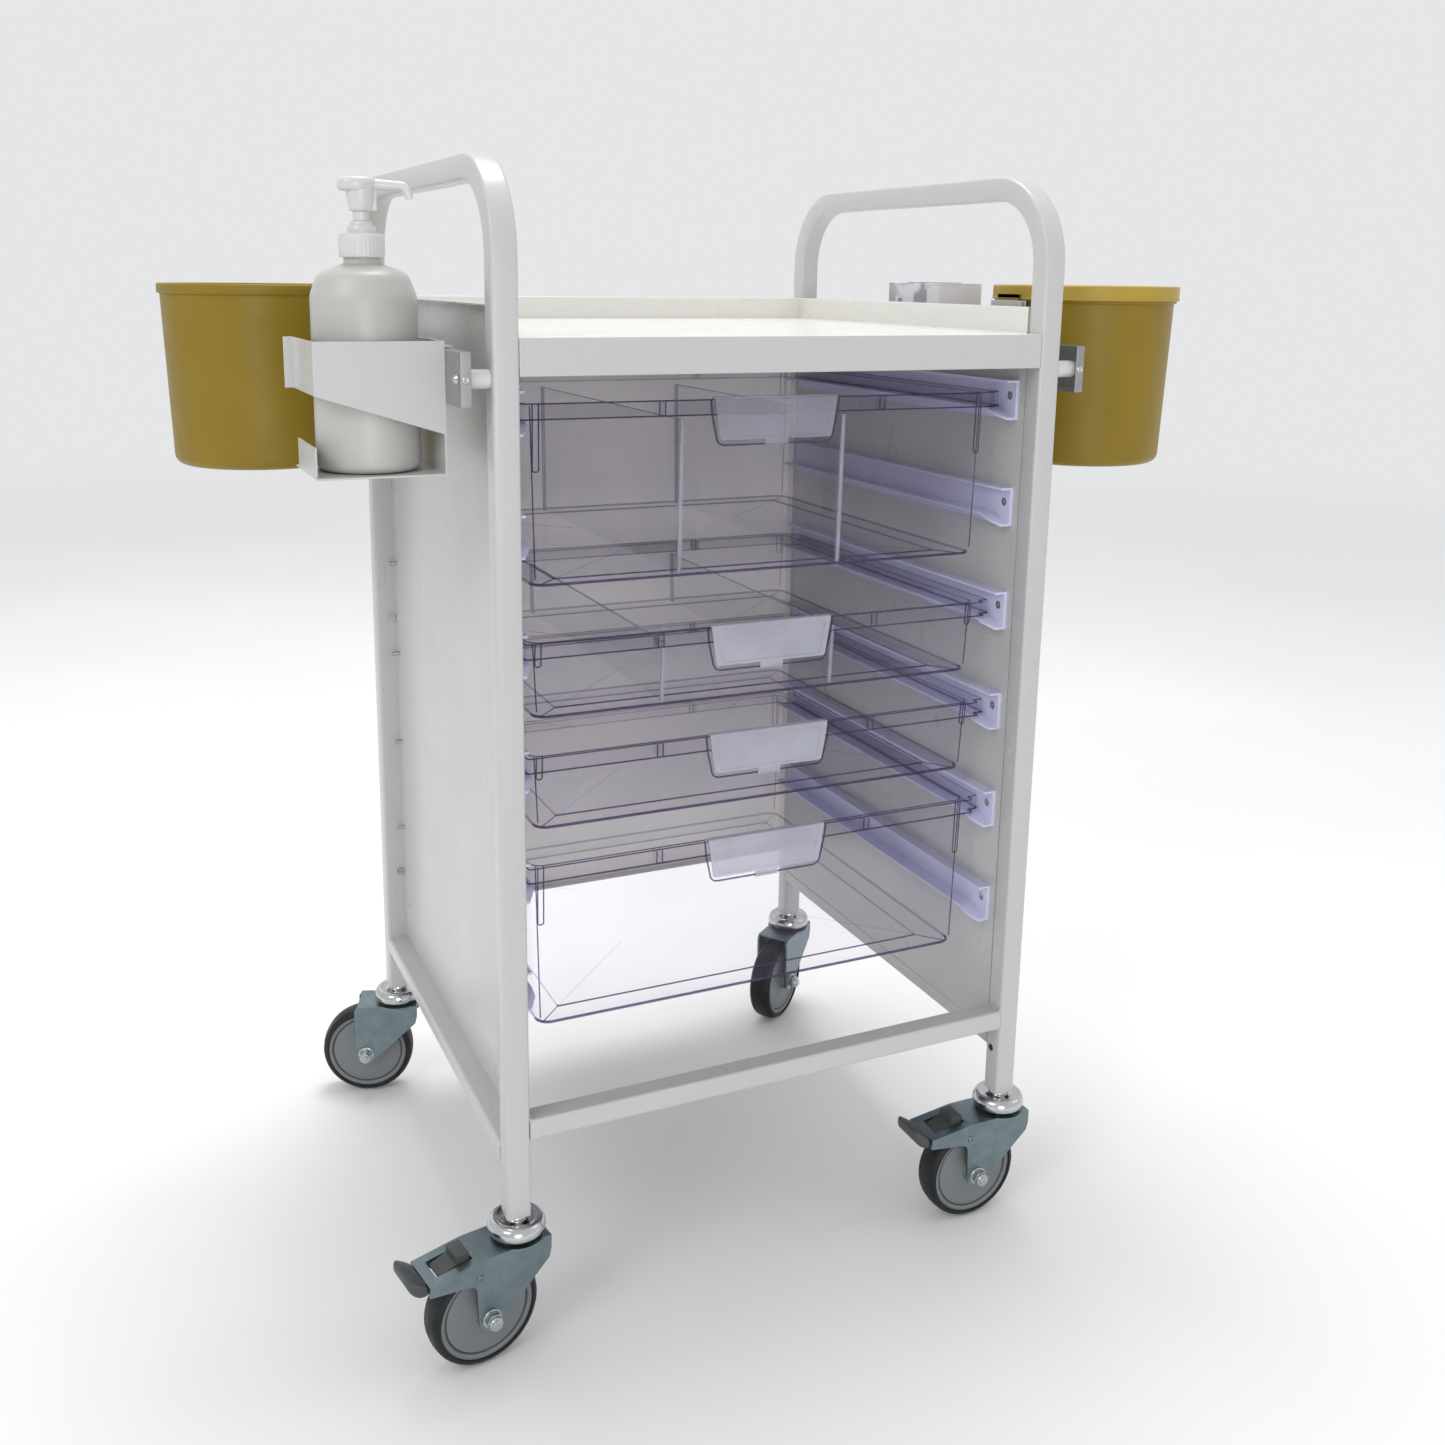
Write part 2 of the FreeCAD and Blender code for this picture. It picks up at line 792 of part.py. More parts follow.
def turned_wheel(shape):
    """A shape made about Z, laid over so that its axis is the wheel's."""
    shape.rotate(V(0, 0, 0), V(1, 0, 0), 90)
    shape.translate(V(caster_trail, 0, -axle_drop))
    return shape


def hub():
    """Moulded wheel centre: boss at the bore, flat disc, round groove and outer ring on each face."""
    half = hub_web / 2
    outer = wheel_radius - tread_depth
    boss = cheek_inside - 0.4
    groove = hub_groove_radius
    side = (
        (hub_boss_radius, boss), (hub_boss_radius + 1.5, half), (groove, half),
        (groove, half - hub_groove_depth), (groove + hub_groove_width, half - hub_groove_depth),
        (groove + hub_groove_width, half + 0.4), (outer, half + 0.9),
    )
    bore = axle_radius + hub_bore_gap
    points = [(bore, boss)] + list(side) + [(r, -z) for r, z in reversed(side)] + [(bore, -boss)]
    return turned_wheel(revolve(points))


def tread():
    """Rubber tyre with rounded shoulders."""
    half = wheel_width / 2
    inner = wheel_radius - tread_depth + hub_bore_gap
    s = tread_shoulder
    crown = [
        (wheel_radius - s + s * math.sin(math.radians(a)), half - s + s * math.cos(math.radians(a)))
        for a in range(0, 91, 15)
    ]
    lower = [(r, -z) for r, z in reversed(crown)]
    return turned_wheel(revolve([(inner, half)] + crown + lower + [(inner, -half)]))


def axle():
    """Axle bolt with its head and a nut, and a plain washer under each."""
    y_out = cheek_inside + cheek_thickness
    base = V(caster_trail, 0, -axle_drop)
    across = V(0, 1, 0)
    bolt = cylinder(axle_radius, 2 * y_out + 10, base - across * (y_out + 8), across)
    washers = [
        cylinder(8, 1.2, base + across * y_out, across),
        cylinder(8, 1.2, base - across * (y_out + 1.2), across),
    ]
    hexagon = [(math.cos(math.radians(a)), math.sin(math.radians(a))) for a in range(0, 360, 60)]
    points = [V(axle_nut_radius * c, 0, axle_nut_radius * s) for c, s in hexagon]
    head = prism(points, V(0, 4.5, 0))
    head.translate(base + across * (y_out + 1.2))
    nut = prism(points, V(0, -5.5, 0))
    nut.translate(base - across * (y_out + 1.2))
    return fuse([bolt, head, nut] + washers)


def tyre_top(x):
    """Height of the tyre's top at a distance along the trail."""
    return math.sqrt(wheel_radius ** 2 - (x - caster_trail) ** 2) - axle_drop


def brake_pedal():
    """Foot pedal: ribbed toe past the fork, link over the tyre, tab in the window, two pivot arms."""
    half = wheel_width / 2 + pedal_arm_gap + pedal_arm
    end = braked_length
    low = -fork_drop - braked_fall - cheek_thickness
    link_start = window_start + 13
    link_low = tyre_top(link_start) + 1.7
    link = box(link_start, end + 6, -half, half, link_low, link_low + 2.4)
    toe = prism(
        (
            V(end + 1.2, -half, low + 7), V(end + 5, -half, -pedal_top_drop - 1.6),
            V(pedal_reach - 4, -half, -pedal_top_drop), V(pedal_reach, -half, -pedal_top_drop - 3.5),
            V(pedal_reach, -half, -pedal_top_drop - 8.5), V(pedal_reach - 5, -half, -pedal_top_drop - 15.5),
            V(end - 3, -half, link_low), V(end - 3, -half, link_low + 2), V(end + 1.2, -half, link_low + 3),
        ),
        V(0, 2 * half, 0),
    )
    tab_half = window_width / 2 - 1.2
    tab_low = tyre_top(window_start + 2) + 1.7
    tab = box(window_start + 2, window_start + 13, -tab_half, tab_half, tab_low, -pedal_top_drop - 0.5)
    ramp = prism(
        (
            V(window_start + 12, -tab_half, tab_low), V(window_start + 12, -tab_half, -fork_drop - 1),
            V(window_start + window_length - 2, -tab_half, low),
            V(window_start + window_length - 2, -tab_half, link_low),
            V(link_start + 1, -tab_half, link_low),
        ),
        V(0, 2 * tab_half, 0),
    )
    shape = fuse([link, round_toe(toe), tab, ramp] + pedal_arms(link_low) + pedal_ribs())
    return shape


def pedal_arms(link_low):
    """Two arms beside the tyre with the pins they turn on."""
    inside = wheel_width / 2 + pedal_arm_gap
    x = pedal_pivot_x
    z = -pedal_pivot_drop
    reach = window_start + window_length
    parts = []
    for side, y in ((1, inside), (-1, -inside - pedal_arm)):
        points = (
            V(x - 5, y, z + 4), V(reach, y, link_low + 2.4), V(reach, y, link_low), V(x + 4, y, z - 5),
            V(x - 5, y, z - 3),
        )
        parts.append(prism(points, V(0, pedal_arm, 0)))
        length = cheek_inside + cheek_thickness + 0.8 - inside
        parts.append(cylinder(pedal_pin, length, V(x, side * inside, z), V(0, side, 0)))
    return parts


def pedal_ribs():
    """Grip ribs across the toe's top."""
    half = wheel_width / 2
    z = -pedal_top_drop
    return [
        box(x, x + 1.2, -half + 1, half - 1, z - 3, z + pedal_rib - 0.42 * abs(pedal_reach - 4 - x))
        for x in (pedal_reach - 10.5, pedal_reach - 7.5, pedal_reach - 4.8)
    ]


def round_toe(shape):
    """Toe with its outer corners rounded off as seen from above."""
    tall = [
        e for e in shape.Edges
        if abs(e.CenterOfMass.x - pedal_reach) < 0.1 and abs(e.tangentAt(e.FirstParameter).z) > 0.9
    ]
    return shape.makeFillet(5.0, tall)


def post_insert(side, end):
    """Plug inside a post's foot that the caster's stem screws into."""
    half = tube / 2 - tube_wall - insert_gap
    x = side * post_centre_x
    y = end * post_centre_y
    z = caster_height
    body = rounded_box(x - half, x + half, y - half, y + half, z + 0.3, z + insert_length, 1.0)
    return body.cut(cylinder(kingpin_radius + 0.02, insert_length + 2, V(x, y, z - 1)))


# ---------------------------------------------------------------- accessory rails
def accessory_rail(side):
    """Aluminium bar along a side, grooved on the face towards the cart."""
    half = rail_height / 2
    low = rail_centre_z - half
    bar = box(side * rail_inner_x, side * rail_outer_x, -half_depth, half_depth, low, rail_top_z)
    groove = box(
        side * (rail_inner_x - 1), side * rail_web_x, -half_depth - 1, half_depth + 1,
        low + rail_lip, rail_top_z - rail_lip,
    )
    return bar.cut(groove).cut(rail_bolt_holes(bolt_radius, side))


def rail_standoffs():
    """Round spacers between the posts and the accessory rails."""
    spacers = []
    for side in (-1, 1):
        for end in (-1, 1):
            base = V(side * half_width, end * post_centre_y, rail_centre_z)
            length = rail_web_x - half_width
            spacer = cylinder(standoff_radius, length, base, V(side, 0, 0))
            bore = cylinder(bolt_radius, length + 2, base - V(side, 0, 0), V(side, 0, 0))
            spacers.append(spacer.cut(bore))
    return spacers


def rail_bolts():
    """Button-head bolts that hold the accessory rails."""
    bolts = []
    for side in (-1, 1):
        for end in (-1, 1):
            tip = half_width - tube_wall - 5
            axis = V(side, 0, 0)
            start = V(side * tip, end * post_centre_y, rail_centre_z)
            shank = cylinder(bolt_radius, rail_outer_x - tip, start, axis)
            seat = V(side * rail_outer_x, end * post_centre_y, rail_centre_z)
            head = Part.makeCone(bolt_head_radius, bolt_head_radius * 0.6, bolt_head_height, seat, axis)
            socket = cylinder(1.6, 1.5, seat + axis * (bolt_head_height - 1.5), axis)
            bolts.append(fuse([shank, head]).cut(socket))
    return bolts


def rail_hook(side, y0, y1):
    """Folded strip that hangs an accessory over the rail: up its face, over the top, down behind."""
    t = holder_sheet
    x_face = rail_outer_x
    x_back = rail_inner_x
    gap = 0.2
    low = rail_top_z + gap
    x_far = x_back - gap - t
    over = box(side * x_far, side * (x_face + t), y0, y1, low, low + t)
    behind = box(side * x_far, side * (x_back - gap), y0, y1, rail_top_z - 3, low + t)
    return [over, behind]


# ---------------------------------------------------------------- bottle and its holder
def bottle_holder():
    """Folded sheet holder on the left rail: back plate, base with a lip, and a band round the bottle."""
    t = holder_sheet
    x0 = -rail_outer_x
    x1 = x0 - t
    tip = x1 - holder_reach
    y0 = front_y + holder_front
    y1 = y0 + holder_length
    low = caster_height + holder_bottom_rise
    high = caster_height + holder_top_rise
    tip_z = caster_height + band_tip_rise
    root_z = caster_height + band_root_rise
    back = box(x0, x1, y0, y1, low, high)
    base = box(x0, tip, y0, y1, low, low + t)
    lip = box(tip, tip + t, y0 + 6, y1 - 12, low, low + base_lip)
    band = prism((V(x0, y0, high), V(tip, y0, high), V(tip, y0, tip_z), V(x0, y0, root_z)), V(0, t, 0))
    wall = box(tip, tip + t, y0, y1, tip_z, high)
    flange = box(tip - 6, tip + t, y1 - t, y1, tip_z, high)
    return fuse([back, base, lip, band, wall, flange] + rail_hook(-1, y0 + 14, y1 - 14))


def bottle_axis():
    """Point on the floor under the bottle's middle."""
    x = -rail_outer_x - holder_sheet - holder_reach / 2
    y = front_y + holder_front + holder_length / 2
    return V(x, y, 0)


def bottle_low():
    """Height of the bottle's underside."""
    return caster_height + holder_bottom_rise + holder_sheet + bottle_gap


def bottle_profile(radius, shoulder, neck, low, neck_top):
    """Half outline of the bottle: rounded foot, straight side, round shoulder, neck."""
    foot = 6.0
    side_top = bottle_low() + bottle_height
    points = [(0, low), (radius - foot, low)]
    points += [
        (radius - foot + foot * math.sin(math.radians(a)), low + foot - foot * math.cos(math.radians(a)))
        for a in (30, 60, 90)
    ]
    run = radius - neck
    points += [
        (neck + run * math.cos(math.radians(a)) ** 0.8, side_top + shoulder * math.sin(math.radians(a)))
        for a in range(0, 90, 15)
    ]
    points += [(neck, side_top + shoulder), (neck, neck_top), (0, neck_top)]
    return points


def bottle():
    """Round plastic bottle with an open neck."""
    low = bottle_low()
    neck_top = low + bottle_height + bottle_shoulder + neck_height
    outer = revolve(bottle_profile(bottle_radius, bottle_shoulder, neck_radius, low, neck_top))
    w = bottle_wall
    inner = revolve(
        bottle_profile(bottle_radius - w, bottle_shoulder - w, neck_radius - w, low + w, neck_top + 1)
    )
    shape = outer.cut(inner)
    shape.translate(bottle_axis())
    return shape


def pump_levels():
    """Heights of the collar's foot and top, its step's top, and the pump head's skirt."""
    collar_low = bottle_low() + bottle_height + bottle_shoulder + collar_rise
    collar_top = collar_low + collar_height
    step_top = collar_top + collar_step_height
    return collar_low, collar_top, step_top, step_top + pump_travel + 0.3


def pump_collar():
    """Screw collar of the pump, with the step that the stem slides in."""
    low, top, step, _ = pump_levels()
    neck_top = bottle_low() + bottle_height + bottle_shoulder + neck_height
    outline = (
        (neck_radius + 0.1, low), (collar_radius - 0.8, low), (collar_radius, low + 1),
        (collar_radius, top - 2),
        (collar_radius - 2, top), (collar_step_radius, top), (collar_step_radius, step - 1),
        (collar_step_radius - 1, step), (pump_stem_radius + pump_stem_gap, step),
        (pump_stem_radius + pump_stem_gap, neck_top + 0.3), (neck_radius + 0.1, neck_top + 0.3),
    )
    shape = revolve(outline)
    shape.translate(bottle_axis())
    return shape


def pump_head():
    """Pump head: stem, skirt, thumb pad and a spout that points at the cart and turns down."""
    _, top, step, skirt_low = pump_levels()
    skirt_top = skirt_low + pump_skirt_height
    r = pump_skirt_radius
    stem = cylinder(pump_stem_radius, skirt_low + 2 - top, V(0, 0, top))
    skirt = Part.makeCone(r * 0.72, r, pump_skirt_height, V(0, 0, skirt_low))
    pad = rounded_box(
        -pad_length * 0.62, pad_length * 0.38, -pad_width / 2, pad_width / 2,
        skirt_top - 0.5, skirt_top + pad_height, pad_width / 2 - 1,
    )
    spout_z = skirt_top + pad_height / 2 - 0.6
    spout = cylinder(nozzle_radius, nozzle_reach - nozzle_radius, V(0, 0, spout_z), V(1, 0, 0))
    elbow = Part.makeSphere(nozzle_radius, V(nozzle_reach - nozzle_radius, 0, spout_z))
    tip = Part.makeCone(
        nozzle_radius, nozzle_radius * 0.7, nozzle_drop,
        V(nozzle_reach - nozzle_radius, 0, spout_z), V(0.25, 0, -1),
    )
    shape = fuse([stem, skirt, pad, spout, elbow, tip])
    shape.rotate(V(0, 0, 0), UP, -12)
    shape.translate(bottle_axis())
    return shape


# ---------------------------------------------------------------- waste bins
def bin_centre(side):
    """Middle of a bin on the floor plan."""
    setback = left_bin_setback if side < 0 else right_bin_setback
    return V(side * bin_offset, front_y + setback, 0)


def bin_profile(grow, low, high):
    """Half outline of a round tapered tub."""
    r0 = bin_bottom_radius + grow
    r1 = bin_top_radius + grow
    c = bin_corner
    foot = [
        (r0 - c + c * math.sin(math.radians(a)), low + c - c * math.cos(math.radians(a)))
        for a in (0, 30, 60, 90)
    ]
    return [(0, low)] + foot + [(r1, high), (0, high)]


def waste_bin(side):
    """Round tub with a rolled rim and a moulded tab that hangs in its bracket."""
    low = caster_height + bin_bottom_rise
    high = low + bin_height
    outer = revolve(bin_profile(0, low, high))
    rim = cylinder(bin_rim_radius, bin_rim_height, V(0, 0, high - bin_rim_height))
    tab_x0 = bin_offset - rail_outer_x - holder_sheet - (bracket_slot - tab_thickness) / 2
    tab_x1 = tab_x0 - tab_thickness
    tab_high = high - 1.5
    tab = box(-tab_x0, -tab_x1, -tab_width / 2, tab_width / 2, tab_high - tab_length, tab_high)
    arm = box(-tab_x0, -bin_bottom_radius, -tab_width / 2, tab_width / 2, tab_high - 3, tab_high)
    shape = fuse([outer, rim, tab, arm])
    shape = shape.cut(revolve(bin_profile(-bin_wall, low + bin_wall, high + 1)))
    if side < 0:
        shape = mirrored(shape)
    shape.translate(bin_centre(side))
    return shape


def bin_bracket(side):
    """Plate on the rail with a pocket for the bin's tab."""
    t = holder_sheet
    centre = bin_centre(side)
    y0 = centre.y - bracket_width / 2
    y1 = centre.y + bracket_width / 2
    high = caster_height + bin_bottom_rise + bin_height - bracket_drop
    low = high - bracket_height
    x0 = rail_outer_x
    x1 = x0 + t
    x2 = x1 + bracket_slot
    x3 = x2 + t
    pocket_low = high - tab_length - 2
    back = box(side * x0, side * x1, y0, y1, low, high)
    floor = box(side * x1, side * x3, y0, y1, pocket_low - t, pocket_low)
    front = box(side * x2, side * x3, y0, y1, pocket_low - t, high)
    return fuse([back, floor, front] + rail_hook(side, y0, y1))


def bin_lid(side):
    """Round lid with a skirt over the bin's rim and a shallow recess on top."""
    rim_top = caster_height + bin_bottom_rise + bin_height
    top = rim_top + lid_rise
    skirt_low = rim_top - lid_height
    seat = rim_top + lid_gap
    w = lid_wall
    r = bin_rim_radius + lid_gap
    outline = (
        (r + w, skirt_low), (r + w, top - 1), (r + w - 1, top), (r - 6, top), (r - 9, top - lid_recess),
        (0, top - lid_recess), (0, top - lid_recess - w), (r - lid_bead - 4, top - lid_recess - w),
        (r - lid_bead, seat), (r, seat), (r, skirt_low),
    )
    shape = revolve(outline)
    half = bracket_width / 2 + 1
    gate = box(-r - w - 5, -r + 6, -half, half, skirt_low - 1, rim_top + 0.2)
    shape = shape.cut(gate)
    if side < 0:
        shape = mirrored(shape)
    shape.translate(bin_centre(side))
    return shape


# ---------------------------------------------------------------- carton and its holder
def carton():
    """Cardboard dispenser box standing in its holder on the right rail."""
    x0 = rail_outer_x + holder_sheet + carton_gap
    y0 = front_y + carton_setback
    z0 = caster_height + carton_bottom_rise
    body = box(x0, x0 + carton_width, y0, y0 + carton_length, z0, z0 + carton_height)
    mouth = rounded_box(
        x0 + 12, x0 + carton_width - 12, y0 + 18, y0 + carton_length - 18,
        z0 + carton_height - 1.5, z0 + carton_height + 1, 11,
    )
    return body.cut(mouth)


def carton_holder():
    """Open-topped sheet tray that carries the carton, hooked over the right rail."""
    t = holder_sheet
    g = carton_gap
    x0 = rail_outer_x
    x1 = x0 + t + g + carton_width + g + t
    y0 = front_y + carton_setback - g - t
    y1 = y0 + carton_length + 2 * g + 2 * t
    low = caster_height + carton_bottom_rise - bottle_gap - t
    wall_top = low + 34
    high = rail_top_z + 0.2
    back = box(x0, x0 + t, y0, y1, low, high)
    base = box(x0, x1, y0, y1, low, low + t)
    front = box(x1 - t, x1, y0, y1, low, wall_top)
    sides = [box(x0, x1, y, y + t, low, wall_top) for y in (y0, y1 - t)]
    return fuse([back, base, front] + sides + rail_hook(1, y0 + 10, y1 - 10))


# ---------------------------------------------------------------- build everything
def build_frame():
    """Tubes, sheet metal and fasteners."""
    save("left_hoop", hoop(-1))
    save("right_hoop", hoop(1))
    save("front_rail", front_rail())
    save("side_rails", [side_rail(-1), side_rail(1)])
    save("post_inserts", [post_insert(s, e) for _, s, e, _, _ in casters])
    save("deck", deck())
    runner_holes = [hole for index in range(runner_count) for hole in runner_screw_holes(index)]
    right_panel = cut(side_panel(1), runner_holes)
    left_panel = cut(side_panel(-1), [mirrored(hole) for hole in runner_holes])
    save("left_side_panel", left_panel)
    save("right_side_panel", right_panel)
    save("back_panel", back_panel())
    save("panel_screws", panel_screws())
    right = [runner(index) for index in range(runner_count)]
    save("right_runners", right)
    save("left_runners", [mirrored(r) for r in right])
    save("runner_screws", runner_screws())


def build_trays():
    """Trays with their label holders and dividers."""
    for name, position, height, drop, places in trays:
        save(name, tray(position, height))
        save(name + "_label_holder", label_holder(position))
        if places:
            save(name + "_dividers", dividers(position, height, drop, places))


def build_casters():
    """Four casters, the front two with brakes."""
    for name, side, end, direction, braked in casters:
        save(name + "_caster_cup", place_caster(caster_cup(), side, end, direction))
        save(name + "_fork", place_caster(fork(braked), side, end, direction))
        save(name + "_hub", place_caster(hub(), side, end, direction))
        save(name + "_tread", place_caster(tread(), side, end, direction))
        save(name + "_axle", place_caster(axle(), side, end, direction))
        if braked:
            save(name + "_brake_pedal", place_caster(brake_pedal(), side, end, direction))


def build_accessories():
    """Side rails and everything that hangs on them."""
    save("left_accessory_rail", accessory_rail(-1))
    save("right_accessory_rail", accessory_rail(1))
    save("rail_standoffs", rail_standoffs())
    save("rail_bolts", rail_bolts())
    save("bottle_holder", bottle_holder())
    save("bottle", bottle())
    save("pump_collar", pump_collar())
    save("pump_head", pump_head())
    save("bin_brackets", [bin_bracket(-1), bin_bracket(1)])
    save("left_bin", waste_bin(-1))
    save("right_bin", waste_bin(1))
    save("right_bin_lid", bin_lid(1))
    save("carton_holder", carton_holder())
    save("carton", carton())


os.makedirs("parts", exist_ok=True)
build_frame()
build_trays()
build_casters()
build_accessories()
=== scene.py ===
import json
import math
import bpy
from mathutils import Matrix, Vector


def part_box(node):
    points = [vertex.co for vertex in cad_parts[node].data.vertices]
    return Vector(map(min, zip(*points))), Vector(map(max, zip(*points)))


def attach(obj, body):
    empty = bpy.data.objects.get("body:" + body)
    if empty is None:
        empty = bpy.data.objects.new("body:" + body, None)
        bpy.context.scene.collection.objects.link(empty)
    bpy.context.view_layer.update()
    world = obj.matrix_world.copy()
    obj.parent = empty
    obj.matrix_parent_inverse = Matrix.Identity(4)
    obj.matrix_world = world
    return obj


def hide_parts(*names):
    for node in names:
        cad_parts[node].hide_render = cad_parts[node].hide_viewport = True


bl_info = {
    "name": "Instrument Cart",
    "version": (1, 0, 0),
    "blender": (4, 5, 0),
    "location": "3D View > Sidebar > Cart",
    "description": "Builds the finished look of a wheeled instrument cart around its fixed frame",
    "category": "Object",
}

import bmesh
import bpy
from mathutils import Matrix, Vector

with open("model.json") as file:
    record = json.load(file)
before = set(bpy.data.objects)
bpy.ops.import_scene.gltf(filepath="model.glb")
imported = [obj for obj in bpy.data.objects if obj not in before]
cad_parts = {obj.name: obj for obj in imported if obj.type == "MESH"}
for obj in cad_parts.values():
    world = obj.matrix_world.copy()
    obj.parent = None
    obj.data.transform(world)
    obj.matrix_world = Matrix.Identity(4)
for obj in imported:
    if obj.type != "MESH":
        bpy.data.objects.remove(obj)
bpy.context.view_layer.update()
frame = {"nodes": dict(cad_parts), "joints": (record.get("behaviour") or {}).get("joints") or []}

MM = 0.001
CORNER_STEPS = 6
FORK_EDGE = 1.15 * MM
RAIL_EDGE = 0.5 * MM
BOLT_EDGE = 0.3 * MM
CASTERS = ("front_left", "front_right", "rear_left", "rear_right")
TRAYS = (1, 2, 3, 4)


# ---------------------------------------------------------------- sizes and colours
def length(name, description, default):
    """A length in metres that a user may change."""
    return bpy.props.FloatProperty(
        name=name, description=description, default=default, min=0.0, unit="LENGTH", precision=5
    )


def colour(name, description, default):
    """A colour that a user may change."""
    return bpy.props.FloatVectorProperty(
        name=name, description=description, default=default, min=0.0, max=1.0, size=3, subtype="COLOR"
    )


class CartSizes(bpy.types.PropertyGroup):
    """Sizes of the finer shapes."""

    sheet_edge: length("Sheet edge", "Rounding of folded sheet edges", 0.8 * MM)
    plastic_edge: length("Plastic edge", "Rounding of moulded edges", 0.6 * MM)
    metal_edge: length("Metal edge", "Rounding of pressed steel edges", 0.7 * MM)
    tube_corner: length("Tube corner", "Outer corner radius of the square tube", 2.6 * MM)
    handle_bend: length("Handle bend", "Centre line radius of the handle's bends", 66 * MM)
    wall_inset: length("Wall inset", "From a tray's rim to the top of its side wall", 16.4 * MM)
    # Painted shade: edges further back than this get a fainter copy of the painted dark edge finish.
    near_edge: length("Near edge", "How far back from a tray's front its edges stay dense", 45 * MM)
    rim_bead: length("Rim bead", "Radius of the thick edge of a tray's rim", 0.7 * MM)
    floor_bead: length("Floor bead", "Radius of the raised line on a tray's floor", 0.7 * MM)
    floor_inset: length("Floor inset", "How far the floor's raised line stands in from the wall", 26 * MM)
    skirt: length("Skirt", "Height of a tray's rim skirt", 13.3 * MM)
    overhang: length("Overhang", "How far the rim stands out from a tray's front wall", 8.5 * MM)
    tub_wall: length("Tub wall", "Wall thickness of the waste tubs", 2 * MM)
    tread_shoulder: length("Tread shoulder", "Rounding of the wheels' treads", 7 * MM)


class CartColours(bpy.types.PropertyGroup):
    """Colours of the finishes."""

    coat: colour("Powder coat", "White coat on tubes and sheet", (0.50, 0.50, 0.497))
    # Painted light: a lighter, warmer copy of the white coat for the deck's upper and rear faces, where more
    # light falls.
    deck_painted_light_coat: colour("Deck coat", "Lighter, warmer coat on the deck's tray", (0.70, 0.69, 0.655))
    # Painted light: a much lighter, warmer copy of the white coat for the back panel, standing in for light
    # reaching inside the cabinet.
    back_panel_lit_coat: colour("Back panel coat", "Warmer white coat on the back panel", (0.84, 0.82, 0.79))
    tray_tint: colour("Tray tint", "What a tray's wall lets through", (0.978, 0.972, 0.990))
    tray_haze: colour("Tray haze", "Milky colour of a tray's wall seen at a slant", (0.40, 0.37, 0.50))
    # Painted shade: near-black for the tray edges, standing in for the dark lines that refraction draws in
    # clear plastic.
    tray_dark: colour("Tray edge", "Colour of a tray's thick edges", (0.085, 0.07, 0.14))
    # Partly painted light: the runners are white moulded plastic, and this violet cast stands in for light
    # coming through and off the violet trays.
    runner: colour("Runners", "Moulded runners", (0.62, 0.63, 0.82))
    label: colour("Label holders", "Frosted label holders", (0.52, 0.52, 0.60))
    tub: colour("Tubs", "Waste tubs", (0.232, 0.156, 0.0105))
    # Painted highlight: a lighter copy of the tubs' yellow, used on the lid.
    tub_highlight_yellow: colour("Tub lid", "Lid and rim of the waste tubs", (0.40, 0.275, 0.035))
    bottle: colour("Bottle", "Pump bottle", (0.45, 0.455, 0.43))
    zinc: colour("Zinc", "Plated steel of the casters", (0.20, 0.255, 0.275))
    hub: colour("Hubs", "Wheel centres", (0.165, 0.178, 0.184))
    tread: colour("Treads", "Rubber treads", (0.008, 0.009, 0.010))
    pedal: colour("Pedals", "Brake pedals", (0.050, 0.058, 0.058))
    rail: colour("Rails", "Aluminium accessory rails", (0.36, 0.36, 0.365))


